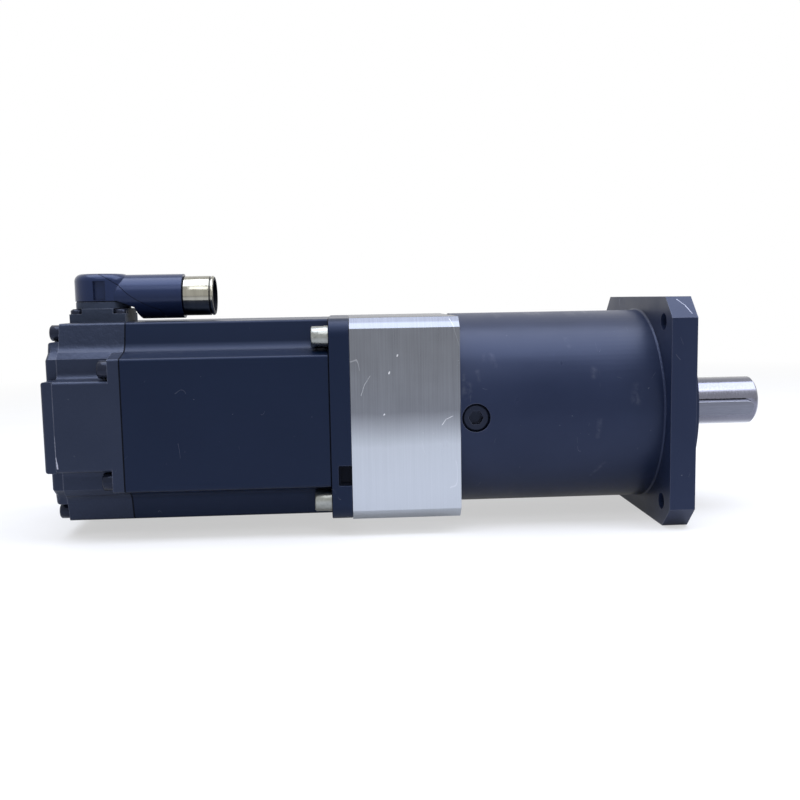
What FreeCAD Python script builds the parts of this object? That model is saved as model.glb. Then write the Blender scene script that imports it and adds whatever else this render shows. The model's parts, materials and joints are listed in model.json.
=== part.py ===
import FreeCAD, Part
import Sketcher
import math
import os
import re

# Geared servo motor: single-stage planetary gearhead, aluminium adapter block and servo motor
# with a swivelling connector. Millimetres. The origin is on the shaft axis in the plane of the
# output flange's mounting face. +X runs out along the output shaft and +Z up to the connector.

sizes = {
    # gear train: everything in the gearhead is sized outwards from it
    "gearModule": 1.25, "sunTeeth": 12, "planetTeeth": 18, "planetCount": 3, "addendum": 0.8,
    "dedendum": 1.05, "backlash": 0.1, "planetWidth": 13, "sideGap": 0.5, "ringWidth": 16,
    "ringRim": 4, "sunShaftDia": 12, "sunClear": 1.5, "windowClear": 1.5,
    # planet carrier, pins and bushes
    "planetPinDia": 8, "bushWall": 2, "carrierRim": 4.25, "carrierPlate": 6, "carrierNeck": 2,
    "carrierClear": 2, "journalShoulder": 3, "spacerWall": 2.5,
    # gear case, output flange and pilot
    "caseWall": 5.5, "caseFillet": 0.8, "flangeLip": 5.5, "flangeThick": 10, "flangeCorner": 8,
    "boltClear": 10.5, "boltHole": 6.6, "pilotOver": 0.5, "pilotHeight": 3,
    # keyed output shaft
    "shaftDia": 20, "shaftReach": 40.5, "shaftEdge": 1, "journalStep": 2.5, "centreThreadDia": 6,
    "centreThreadDepth": 16, "keyWidth": 6, "keyHeight": 6, "keyLength": 28, "keyProud": 2.5,
    "keyFromEnd": 3, "keyTurn": 10,
    # output bearings and seal
    "outBearSection": 11, "outBearWidth": 12, "outBall": 6.4, "outBallCount": 9, "outBearRib": 5,
    "ribStep": 2.5, "sealWidth": 7, "sealRecess": 0.5, "sealWall": 1.5, "sealLip": 1,
    # input bearing and its plate
    "inBearBore": 35, "inBearSection": 6, "inBearWidth": 7, "inBall": 3.6, "inBallCount": 12,
    "plateShoulder": 2, "plateLip": 2.3, "rimWall": 3.5, "hubGap": 4, "hubShoulder": 1.5,
    # clamp hub and access plug
    "colletWall": 5.5, "colletTail": 8, "colletSlit": 1.6, "colletRoot": 4, "clampWall": 8,
    "clampRingWidth": 13, "clampClear": 3, "clampScrewDia": 8, "plugDia": 11, "plugThick": 4,
    "plugFromBearing": 9, "plugFromJoint": 6, "plugSocket": 5, "plugSocketDepth": 3,
    "plugSunk": 0.9,
    # adapter block and its screws
    "adapterLength": 42, "adapterCorner": 4, "spigotHeight": 2.5, "adapterScrewDia": 4,
    "adapterHeadDia": 7, "adapterHeadHeight": 4, "adapterFloor": 6, "adapterScrewReach": 9,
    # motor front flange
    "motorFlangeOver": 0.4, "motorFlangeThick": 8, "motorFlangeCorner": 7, "motorPilotHeight": 3,
    "motorScrewOut": 10, "motorScrewDia": 5, "motorHeadDia": 8.5, "motorHeadHeight": 5,
    "washerDia": 8.8, "washerThick": 1.6, "washerNook": 0.4, "motorScrewReach": 12,
    "notchWidth": 5.1, "notchHeight": 7.6, "notchDepth": 3, "notchDrop": 17.4,
    "bearingBossWall": 4.5, "bossEnd": 2, "motorSealSection": 6.5, "motorSealWidth": 5,
    "motorSealStop": 3, "housingSpigot": 3,
    # stator, rotor and motor shaft: the motor is sized outwards from its shaft
    "rotorWall": 7, "magnetThick": 2.4, "magnetCount": 8, "magnetSplit": 2, "airGap": 1.1,
    "coreLength": 46, "coreWall": 13.5, "slotCount": 12, "slotMouth": 2, "slotFoot": 6,
    "slotHead": 8, "slotLip": 2, "slotShoulder": 3, "coreBack": 5, "wireGap": 0.2,
    "endTurn": 7, "turnEdge": 1.5, "turnOverlap": 2, "turnGap": 1, "rearRoom": 3,
    "motorShaftDia": 19, "shaftPast": 13, "shaftStep": 0.5, "shaftCollar": 1,
    # motor bearings
    "frontBearDepth": 6, "frontBearSection": 13.5, "frontBearWidth": 14, "frontBall": 7.9,
    "rearBearBore": 15, "rearBearSection": 10, "rearBearWidth": 11, "rearBall": 6,
    "motorBallCount": 8,
    # motor housing, end shield and cover
    "housingWall": 3.6, "panelRound": 1.2, "notchFillet": 5, "panelStep": 2.6, "recessEdge": 1,
    "shieldFlange": 4.5, "coverThick": 4.4, "coverEdge": 1.5, "recessFillet": 3, "tieScrewDia": 3.5,
    "tieHeadDia": 6.2, "tieHeadHeight": 4, "shieldScrewDia": 4, "shieldHeadDia": 7,
    "shieldHeadHeight": 4, "screwReach": 10,
    # encoder
    "tailStep": 2.5, "partitionThick": 3, "discGap": 4, "encoderDiscDia": 40,
    "encoderDiscThick": 1.5, "discHub": 2, "discHubWall": 3, "discClear": 4, "shaftTail": 2,
    "boardThick": 1.6, "boardDepth": 3, "boardSeat": 2,
    # swivelling connector
    "connectorBack": 14, "headDia": 22, "headHeight": 11, "headEdge": 3, "earHeight": 3.4,
    "bossHeight": 2, "neckHeight": 2.7, "neckStep": 0.2, "baseHole": 10, "baseScrewDia": 2.5,
    "baseHeadDia": 4.6, "baseHeadHeight": 1.8, "baseScrewReach": 5, "barrelDia": 18,
    "barrelClear": 1, "barrelReach": 33, "barrelWall": 2, "latchWidth": 4.4,
    "latchHeight": 7.5, "latchDepth": 1.6, "latchBack": 1.2, "latchRise": 0.4,
    "seamStart": 2.5, "seamMiddle": 11, "seamEnd": 24, "seamRise": 1.7, "seamDrop": 5.3,
    "seamCrown": 32, "seamFoot": 40, "seamTail": 3,
    # coupling sleeve, insert and contacts
    "sleeveStep": 0.95, "sleeveLength": 12.4, "sleeveWall": 0.6, "sleeveTail": 6,
    "sleeveEdge": 0.4, "rimGroove": 0.7, "rimInset": 1, "mouthDepth": 7.4, "insertLength": 10,
    "contactDia": 1, "contactInset": 2.6, "contactCount": 8, "contactReach": 2.4,
    # fits and clearances
    "fitGap": 0.02, "runGap": 0.03, "ballGap": 0.04, "partGap": 0.3, "seamGap": 0.2,
    "headClear": 0.3, "screwClear": 0.5, "overcut": 1,
}

# Diameters and widths of the gearhead, outwards from the gear train
orbitRadius = "((sunTeeth + planetTeeth) * gearModule / 2)"
sunTip = "((sunTeeth / 2 + addendum) * gearModule)"
planetTip = "((planetTeeth / 2 + addendum) * gearModule)"
ringOuterDia = f"(2 * {orbitRadius} + planetTeeth * gearModule + 2 * ringRim)"
planetBoreDia = "(planetPinDia + 2 * bushWall)"
carrierDia = f"(2 * {orbitRadius} + planetPinDia + 2 * carrierRim)"
carrierBoreDia = f"(2 * {sunTip} + 2 * sunClear)"
caseDia = f"({ringOuterDia} + 2 * caseWall)"
flangeWidth = f"({caseDia} + 2 * flangeLip)"
pilotDia = f"({caseDia} + 2 * pilotOver)"
boltCircle = f"({caseDia} + 2 * boltClear)"
journalDia = "(shaftDia + 2 * journalStep)"
outBearOuter = f"({journalDia} + 2 * outBearSection)"
ribBore = f"({outBearOuter} - 2 * ribStep)"
inBearOuter = "(inBearBore + 2 * inBearSection)"
adapterScrewCircle = f"(({ringOuterDia} + {caseDia}) / 2)"

# Diameters and widths of the motor, outwards from its shaft and its rotor
colletDia = "(motorShaftDia + 2 * colletWall)"
clampRingDia = f"({colletDia} + 2 * clampWall)"
adapterBore = f"({clampRingDia} + 2 * clampClear)"
frontBearBore = "(motorShaftDia + 2 * shaftStep)"
frontBearOuter = f"({frontBearBore} + 2 * frontBearSection)"
bearingBossDia = f"({frontBearOuter} + 2 * bearingBossWall)"
motorSealOuter = "(motorShaftDia + 2 * motorSealSection)"
rotorSeatDia = f"({frontBearBore} + 2 * shaftCollar)"
rotorDia = f"({rotorSeatDia} + 2 * rotorWall)"
rearBearOuter = "(rearBearBore + 2 * rearBearSection)"
encoderShaftDia = "(rearBearBore - 2 * tailStep)"
encoderCavityDia = "(encoderDiscDia + 2 * discClear + 2 * boardSeat)"
coreInner = f"({rotorDia} + 2 * magnetThick + 2 * airGap)"
housingBore = f"({coreInner} + 2 * coreWall)"
housingWidth = f"({housingBore} + 2 * housingWall)"
motorFlangeWidth = f"({housingWidth} + 2 * motorFlangeOver)"
motorBoltCircle = f"({housingBore} + 2 * motorScrewOut)"
cornerInset = f"({motorBoltCircle} * sqrt(2) / 4 - washerDia / 2 + washerNook)"
panelWidth = f"(2 * {cornerInset} - 2 * panelStep)"
boxHeight = f"({panelWidth} - 2 * shieldHeadDia - 6 * headClear)"
recessSide = f"({housingWidth} / 2 - shieldHeadDia - headClear)"
shieldScrewAcross = f"({housingWidth} - shieldHeadDia)"
shieldScrewUp = f"({panelWidth} - shieldHeadDia - 2 * headClear)"
tieAcross = f"({panelWidth} - tieHeadDia)"
tieUp = f"({housingWidth} - tieHeadDia - 2 * screwClear)"

# Stations along the shaft axis, from the output end to the rear cover
sealRear = "(pilotHeight - sealRecess - sealWidth)"
frontBearFront = f"({sealRear} - sideGap)"
frontBearRear = f"({frontBearFront} - outBearWidth)"
backBearFront = f"({frontBearRear} - outBearRib)"
backBearRear = f"({backBearFront} - outBearWidth)"
carrierFront = f"({backBearRear} - carrierNeck)"
windowFront = f"({carrierFront} - carrierPlate)"
windowRear = f"({windowFront} - planetWidth - 2 * sideGap)"
carrierRear = f"({windowRear} - carrierPlate)"
ringFront = f"({windowFront} + (ringWidth - planetWidth - 2 * sideGap) / 2)"
ringRear = f"({ringFront} - ringWidth)"
plateFront = f"({carrierRear} - hubGap)"
inBearFront = f"({plateFront} - plateShoulder)"
inBearRear = f"({inBearFront} - inBearWidth)"
plugStation = f"({inBearRear} - plugFromBearing)"
caseRear = f"({plugStation} - plugFromJoint)"
colletRear = f"({plugStation} - colletTail)"
clampRear = f"({plugStation} - clampRingWidth / 2)"
motorShaftTip = f"({caseRear} + shaftPast)"
adapterRear = f"({caseRear} - adapterLength)"
motorFlangeRear = f"({adapterRear} - motorFlangeThick)"
motorBearFront = f"({adapterRear} - frontBearDepth)"
motorBearRear = f"({motorBearFront} - frontBearWidth)"
bossRear = f"({motorBearRear} - bossEnd)"
coreFront = f"({bossRear} - turnGap - endTurn)"
coreRear = f"({coreFront} - coreLength)"
housingRear = f"({coreRear} - endTurn - rearRoom)"
backMotorBearFront = f"({housingRear} - sideGap)"
backMotorBearRear = f"({backMotorBearFront} - rearBearWidth)"
cavityFront = f"({backMotorBearRear} - partitionThick)"
discFront = f"({cavityFront} - discGap)"
boardFront = f"({discFront} - encoderDiscThick - shaftTail)"
shieldRear = f"({boardFront} - boardDepth)"
coverRear = f"({shieldRear} - coverThick)"
connectorStation = f"({housingRear} - connectorBack)"

# Heights of the connector above the shaft axis, and its widths
housingTop = f"({housingWidth} / 2)"
earTop = f"({housingTop} + earHeight)"
baseTop = f"({earTop} + bossHeight)"
neckTop = f"({baseTop} + neckHeight)"
headBottom = f"({neckTop} + partGap)"
headTop = f"({headBottom} + headHeight)"
barrelHeight = f"({housingTop} + barrelDia / 2 + barrelClear)"
barrelBore = "(barrelDia - 2 * barrelWall)"
sleeveDia = "(barrelDia - 2 * sleeveStep)"
sleeveBore = f"({barrelBore} - 2 * sleeveWall)"
latchFloor = "(headDia / 2 - latchDepth)"
baseScrewPitch = "(headDia - baseHeadDia)"
bossWidth = f"({baseScrewPitch} - baseHeadDia - 2 * headClear)"

doc = FreeCAD.newDocument("GearedServoMotor")
sheet = doc.addObject("Spreadsheet::Sheet", "Sizes")
for row, (alias, value) in enumerate(sizes.items(), start=1):
    sheet.set(f"A{row}", alias)
    sheet.set(f"B{row}", str(value))
    sheet.setAlias(f"B{row}", alias)
doc.recompute()
nodes = []
touching = 1e-5


def bound(formula):
    # names the sheet before each size in a formula
    return re.sub(r"[A-Za-z]\w*", lambda m: f"Sizes.{m[0]}" if m[0] in sizes else m[0], formula)


def number(formula):
    value = sheet.evalExpression(bound(formula))
    return float(getattr(value, "Value", value))


def newBody(label, keep=True):
    body = doc.addObject("PartDesign::Body", label)
    body.Label = label
    body.AllowCompound = True
    if keep:
        nodes.append(body)
    return body


def place(item, x="0", y="0", z="0", turn="0"):
    # moves a piece and turns it about the shaft direction
    item.Placement = FreeCAD.Placement(
        FreeCAD.Vector(number(x), number(y), number(z)),
        FreeCAD.Rotation(FreeCAD.Vector(1, 0, 0), number(turn)))
    for axis, formula in zip("xyz", (x, y, z)):
        item.setExpression(f"Placement.Base.{axis}", bound(formula))
    if turn != "0":
        item.setExpression("Placement.Rotation.Angle", bound(turn))


def originPart(body, role):
    return next(part for part in body.Origin.OriginFeatures if part.Role == role)


def newSketch(body, role, offset):
    sketch = body.newObject("Sketcher::SketchObject", f"{body.Name}_Sketch")
    sketch.AttachmentSupport = [(originPart(body, role), "")]
    sketch.MapMode = "FlatFace"
    sketch.setExpression("AttachmentOffset.Base.z", bound(offset))
    return sketch


def pin(sketch, kind, places, formula):
    # adds one constraint and binds it to its formula
    constraint = Sketcher.Constraint(kind, *places, number(formula))
    index = sketch.addConstraint(constraint)
    sketch.setExpression(f"Constraints[{index}]", bound(formula))


def arcBetween(start, end, radius):
    # an arc whose centre lies left of the way from start to end for a positive radius
    chord = end.sub(start)
    left = FreeCAD.Vector(-chord.y, chord.x, 0).normalize()
    reach = math.sqrt(max(radius ** 2 - chord.Length ** 2 / 4, 0))
    centre = start.add(end).multiply(0.5).add(left.multiply(math.copysign(reach, radius)))
    circle = Part.Circle(centre, FreeCAD.Vector(0, 0, 1), abs(radius))
    begin, finish = (start, end) if radius > 0 else (end, start)
    angles = [math.atan2(p.y - centre.y, p.x - centre.x) for p in (begin, finish)]
    return Part.ArcOfCircle(circle, *angles)


def drawOutline(sketch, corners):
    # a corner is (x, y) or (x, y, radius) where an arc runs from it to the next corner,
    # and a half circle stands on an upright chord
    points = [FreeCAD.Vector(number(c[0]), number(c[1]), 0) for c in corners]
    first = sketch.GeometryCount
    count = len(corners)
    ends = []
    for i, corner in enumerate(corners):
        start, end = points[i], points[(i + 1) % count]
        if len(corner) == 3:
            index = sketch.addGeometry(arcBetween(start, end, number(corner[2])), False)
            forward = number(corner[2]) > 0
            if abs(2 * number(corner[2]) - start.distanceToPoint(end)) < touching:
                pin(sketch, "DistanceX", (-1, 1, index, 3), corner[0])
            else:
                pin(sketch, "Radius", (index,), f"abs({corner[2]})")
        else:
            index = sketch.addGeometry(Part.LineSegment(start, end), False)
            forward = True
        ends.append((1, 2) if forward else (2, 1))
    for i, corner in enumerate(corners):
        after = (i + 1) % count
        sketch.addConstraint(Sketcher.Constraint(
            "Coincident", first + i, ends[i][1], first + after, ends[after][0]))
        pin(sketch, "DistanceX", (-1, 1, first + i, ends[i][0]), corner[0])
        pin(sketch, "DistanceY", (-1, 1, first + i, ends[i][0]), corner[1])


def drawCircle(sketch, x, y, diameter):
    centre = FreeCAD.Vector(number(x), number(y), 0)
    circle = Part.Circle(centre, FreeCAD.Vector(0, 0, 1), number(diameter) / 2)
    index = sketch.addGeometry(circle, False)
    pin(sketch, "DistanceX", (-1, 1, index, 3), x)
    pin(sketch, "DistanceY", (-1, 1, index, 3), y)
    pin(sketch, "Diameter", (index,), diameter)


def draw(sketch, loops):
    # a list is an outline of corners and a tuple is a circle
    for loop in loops:
        if isinstance(loop, tuple):
            drawCircle(sketch, *loop)
        else:
            drawOutline(sketch, loop)


def addPad(body, loops, start, end, role="YZ_Plane"):
    sketch = newSketch(body, role, start)
    draw(sketch, loops)
    pad = body.newObject("PartDesign::Pad", f"{body.Name}_Pad")
    pad.Profile = sketch
    pad.setExpression("Length", bound(f"{end} - ({start})"))
    return pad


def addPocket(body, loops, start, end, role="YZ_Plane"):
    sketch = newSketch(body, role, end)
    draw(sketch, loops)
    pocket = body.newObject("PartDesign::Pocket", f"{body.Name}_Pocket")
    pocket.Profile = sketch
    pocket.setExpression("Length", bound(f"{end} - ({start})"))
    return pocket


def addRevolve(body, corners, kind="Revolution", axis="H_Axis"):
    # turns a section in the XZ plane about the X axis, or about Z with V_Axis
    sketch = newSketch(body, "XZ_Plane", "0")
    drawOutline(sketch, corners)
    turned = body.newObject(f"PartDesign::{kind}", f"{body.Name}_{kind}")
    turned.Profile = sketch
    turned.ReferenceAxis = (sketch, [axis])
    turned.Angle = 360
    return turned


def repeatRound(body, feature, count):
    pattern = body.newObject("PartDesign::PolarPattern", f"{body.Name}_Pattern")
    pattern.Originals = [feature]
    pattern.Axis = (originPart(body, "X_Axis"), [""])
    pattern.Angle = 360
    pattern.setExpression("Occurrences", bound(count))
    body.Tip = pattern
    return pattern


def dressEdges(body, kind, size, chosen):
    # rounds or bevels the edges of the newest feature for which the test holds
    doc.recompute()
    base = body.Tip
    names = [f"Edge{i}" for i, edge in enumerate(base.Shape.Edges, start=1) if chosen(edge)]
    feature = body.newObject(f"PartDesign::{kind}", f"{body.Name}_{kind}")
    feature.Base = (base, names)
    feature.setExpression("Radius" if kind == "Fillet" else "Size", bound(size))
    return feature


def runsAlongX(edge):
    box = edge.BoundBox
    return box.YLength < touching and box.ZLength < touching


def liesAt(edge, station, radius=None):
    box = edge.BoundBox
    flat = abs(box.XMin - number(station)) < touching and box.XLength < touching
    return flat and (radius is None or abs(box.ZMax - number(radius)) < touching)


def ringOf(radius, count, first, diameter):
    # circles spaced evenly on a pitch radius, the angle in degrees from +Y towards +Z
    circles = []
    for k in range(round(number(count))):
        angle = f"({first} + {k} * 360 / {count})"
        circles.append((f"{radius} * cos({angle})", f"{radius} * sin({angle})", diameter))
    return circles


def mirrorFour(quarter):
    # repeats the corners of one quarter of a section round all four
    flipped = [(f"-{y}", z) for y, z in reversed(quarter)]
    upper = quarter + flipped
    lower = [(y, f"-{z}") for y, z in reversed(upper)]
    return upper + lower


def box(y1, y2, z1, z2):
    return [(y1, z1), (y2, z1), (y2, z2), (y1, z2)]


def bevelledSquare(width, corner):
    half = f"({width} / 2)"
    inner = f"({width} / 2 - {corner})"
    return mirrorFour([(half, inner), (inner, half)])


def toothOutline(teeth, outer, inner, thicker, firstTooth):
    # a closed gear outline with involute flanks, each drawn as one arc through three points
    module = number("gearModule")
    pitchRadius = module * teeth / 2
    pressure = math.radians(20)
    baseRadius = pitchRadius * math.cos(pressure)
    rollAtPitch = math.tan(pressure) - pressure
    halfTooth = math.pi / (2 * teeth) + thicker / (2 * pitchRadius)

    def flankPoint(radius, middle, side):
        usable = max(radius, baseRadius)
        slope = math.acos(baseRadius / usable)
        away = halfTooth + rollAtPitch - (math.tan(slope) - slope)
        angle = middle + side * away
        return FreeCAD.Vector(0, radius * math.cos(angle), radius * math.sin(angle))

    edges = []
    previous = None
    first = None
    start = max(inner, baseRadius)
    for tooth in range(teeth):
        middle = math.radians(firstTooth) + 2 * math.pi * tooth / teeth
        rising = [flankPoint(r, middle, -1) for r in (start, (start + outer) / 2, outer)]
        falling = [flankPoint(r, middle, 1) for r in (outer, (start + outer) / 2, start)]
        foot = flankPoint(inner, middle, -1)
        toe = flankPoint(inner, middle, 1)
        if previous:
            edges.append(Part.LineSegment(previous, foot).toShape())
        else:
            first = foot
        if inner < baseRadius:
            edges.append(Part.LineSegment(foot, rising[0]).toShape())
        edges.append(Part.Arc(*rising).toShape())
        edges.append(Part.LineSegment(rising[2], falling[0]).toShape())
        edges.append(Part.Arc(*falling).toShape())
        if inner < baseRadius:
            edges.append(Part.LineSegment(falling[2], toe).toShape())
        previous = toe
    edges.append(Part.LineSegment(previous, first).toShape())
    return Part.Wire(edges)


def externalGear(teeth, width, firstTooth):
    module = number("gearModule")
    outer = module * (teeth / 2 + number("addendum"))
    inner = module * (teeth / 2 - number("dedendum"))
    outline = toothOutline(teeth, outer, inner, -number("backlash"), firstTooth)
    return Part.Face(outline).extrude(FreeCAD.Vector(width, 0, 0))


def bearing(label, front, width, bore, outer, ball, count):
    # outer ring, inner ring, and the caged balls that run between them in straight-sided tracks
    rear = f"({front} - {width})"
    middle = f"({front} - {width} / 2)"
    pitch = f"(({bore} + {outer}) / 4)"
    for part, skin, side in (("outer", outer, "+"), ("inner", bore, "-")):
        land = f"({pitch} {side} {ball} / 4)"
        track = f"({pitch} {side} ({ball} / 2 + ballGap))"
        addRevolve(newBody(f"{label}_{part}_ring"),
                   [(rear, f"{skin} / 2"), (rear, land), (f"{middle} - {ball} / 2", land),
                    (f"{middle} - {ball} / 4", track), (f"{middle} + {ball} / 4", track),
                    (f"{middle} + {ball} / 2", land), (front, land), (front, f"{skin} / 2")])
    balls = newBody(f"{label}_balls")
    web = f"({ball} / 4 - partGap)"
    addRevolve(balls, box(f"{middle} - {ball} / 3", f"{middle} + {ball} / 3",
                          f"{pitch} - {web}", f"{pitch} + {web}"))
    sphere = balls.newObject("PartDesign::AdditiveSphere", f"{label}_Ball")
    sphere.setExpression("Radius", bound(f"{ball} / 2"))
    sphere.setExpression("Placement.Base.x", bound(middle))
    sphere.setExpression("Placement.Base.z", bound(pitch))
    doc.recompute()
    repeatRound(balls, sphere, count)


def gearHousing():
    body = newBody("gear_housing")
    addPad(body, [bevelledSquare(flangeWidth, "flangeCorner")], "-flangeThick", "0")
    addRevolve(body, [(caseRear, "0"), ("pilotHeight", "0"), ("pilotHeight", f"{pilotDia} / 2"),
                      ("-flangeThick / 2", f"{pilotDia} / 2"), ("-flangeThick / 2", f"{caseDia} / 2"),
                      (caseRear, f"{caseDia} / 2")])
    dressEdges(body, "Fillet", "caseFillet",
               lambda edge: liesAt(edge, "-flangeThick", f"{caseDia} / 2"))
    seat = f"({outBearOuter} / 2 + fitGap)"
    hollow = f"({ringOuterDia} / 2 + fitGap)"
    carrierRoom = f"({carrierDia} / 2 + carrierClear)"
    addRevolve(body, [("pilotHeight", "0"), ("pilotHeight", seat), (frontBearRear, seat),
                      (frontBearRear, f"{ribBore} / 2"), (backBearFront, f"{ribBore} / 2"),
                      (backBearFront, seat), (f"{carrierFront} + sideGap", seat),
                      (f"{carrierFront} + sideGap", carrierRoom), (ringFront, carrierRoom),
                      (ringFront, hollow), (caseRear, hollow), (caseRear, "0")], "Groove")
    addPocket(body, ringOf(f"{boltCircle} / 2", "4", "45", "boltHole"), "-flangeThick", "0")
    addPocket(body, ringOf(f"{adapterScrewCircle} / 2", "4", "45", "adapterScrewDia + 2 * fitGap"),
              caseRear, f"{caseRear} + adapterScrewReach + overcut")
    addPocket(body, [(plugStation, "0", "plugDia")], "0", f"{caseDia} / 2 + overcut", "XZ_Plane")


def ringGear():
    teeth = round(number("sunTeeth + 2 * planetTeeth"))
    module = number("gearModule")
    rootRadius = module * (teeth / 2 + number("dedendum"))
    tipRadius = module * (teeth / 2 - number("addendum"))
    hole = Part.Face(toothOutline(teeth, rootRadius, tipRadius, number("backlash"), 0))
    disc = Part.Face(Part.Wire(Part.Circle(
        FreeCAD.Vector(), FreeCAD.Vector(1, 0, 0), number(f"{ringOuterDia} / 2")).toShape()))
    ring = doc.addObject("Part::Feature", "ring_gear")
    ring.Label = "ring_gear"
    ring.Shape = disc.cut(hole).extrude(FreeCAD.Vector(number("ringWidth"), 0, 0))
    place(ring, ringRear)
    nodes.append(ring)


def shaftSeal(label, rear, front, outer, shaft):
    # a ring whose lip bends in to the shaft
    lip = f"({shaft} / 2 + runGap)"
    wall = f"({outer} / 2 - sealWall)"
    addRevolve(newBody(label), [(rear, wall), (rear, f"{outer} / 2"), (front, f"{outer} / 2"),
                                (front, f"{lip} + sealLip"), (f"{front} - sealLip", lip),
                                (f"{front} - 3 * sealLip", lip),
                                (f"{front} - 2 * sealLip", wall)])


def keyBar(label, gap, top, keep):
    # a bar with round ends that lies along the shaft
    body = newBody(label, keep)
    wide = f"(keyWidth / 2 + {gap})"
    back = "(shaftReach - keyFromEnd - keyLength + keyWidth / 2)"
    fore = "(shaftReach - keyFromEnd - keyWidth / 2)"
    bottom = f"(shaftDia / 2 + keyProud - keyHeight - {gap})"
    addPad(body, [[(back, f"-{wide}"), (fore, f"-{wide}", wide), (fore, wide),
                   (back, wide, wide)]], bottom, top, "XZ_Plane")
    place(body, turn="keyTurn")
    return body


def outputShaft():
    body = newBody("carrier_blank", False)
    addRevolve(body, [(carrierRear, "0"), ("shaftReach", "0"),
                      ("shaftReach", "shaftDia / 2 - shaftEdge"),
                      ("shaftReach - shaftEdge", "shaftDia / 2"),
                      ("pilotHeight", "shaftDia / 2"), ("pilotHeight", f"{journalDia} / 2 - fitGap"),
                      (backBearRear, f"{journalDia} / 2 - fitGap"),
                      (backBearRear, f"{journalDia} / 2 + journalShoulder"),
                      (carrierFront, f"{journalDia} / 2 + journalShoulder"),
                      (carrierFront, f"{carrierDia} / 2"),
                      (carrierRear, f"{carrierDia} / 2")])
    windows = ringOf(orbitRadius, "planetCount", "90", f"2 * {planetTip} + windowClear")
    addPocket(body, windows, windowRear, windowFront)
    addPocket(body, [("0", "0", carrierBoreDia)], carrierRear, f"{windowFront} + sideGap")
    addPocket(body, ringOf(orbitRadius, "planetCount", "90", "planetPinDia + 2 * fitGap"),
              carrierRear, carrierFront)
    addPocket(body, [("0", "0", "centreThreadDia")], "shaftReach - centreThreadDepth",
              "shaftReach")
    slot = keyBar("keyway_space", "fitGap", "shaftDia", False)
    shaft = doc.addObject("Part::Cut", "output_shaft")
    shaft.Label = "output_shaft"
    shaft.Base = body
    shaft.Tool = slot
    nodes.append(shaft)
    keyBar("output_key", "0", "(shaftDia / 2 + keyProud)", True)
    pins = newBody("planet_pins")
    addPad(pins, ringOf(orbitRadius, "planetCount", "90", "planetPinDia"), carrierRear,
           carrierFront)
    spacer = newBody("bearing_spacer")
    addRevolve(spacer, box(backBearFront, frontBearRear, f"{journalDia} / 2",
                           f"{journalDia} / 2 + spacerWall"))


def planets():
    count = round(number("planetCount"))
    teeth = round(number("planetTeeth"))
    bore = number(f"{planetBoreDia} / 2 + fitGap")
    width = number("planetWidth")
    for k in range(count):
        angle = f"(90 + {k} * 360 / planetCount)"
        across = f"{orbitRadius} * cos({angle})"
        up = f"{orbitRadius} * sin({angle})"
        rear = f"{windowRear} + sideGap"
        gear = doc.addObject("Part::Feature", f"planet_gear_{k + 1}")
        gear.Label = f"planet_gear_{k + 1}"
        hole = Part.makeCylinder(bore, width, FreeCAD.Vector(), FreeCAD.Vector(1, 0, 0))
        gear.Shape = externalGear(teeth, width, 0).cut(hole)
        place(gear, rear, across, up, angle)
        nodes.append(gear)
        bush = newBody(f"planet_bush_{k + 1}")
        addRevolve(bush, box("0", "planetWidth", "planetPinDia / 2 + runGap",
                             f"{planetBoreDia} / 2"))
        place(bush, rear, across, up, angle)


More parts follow.
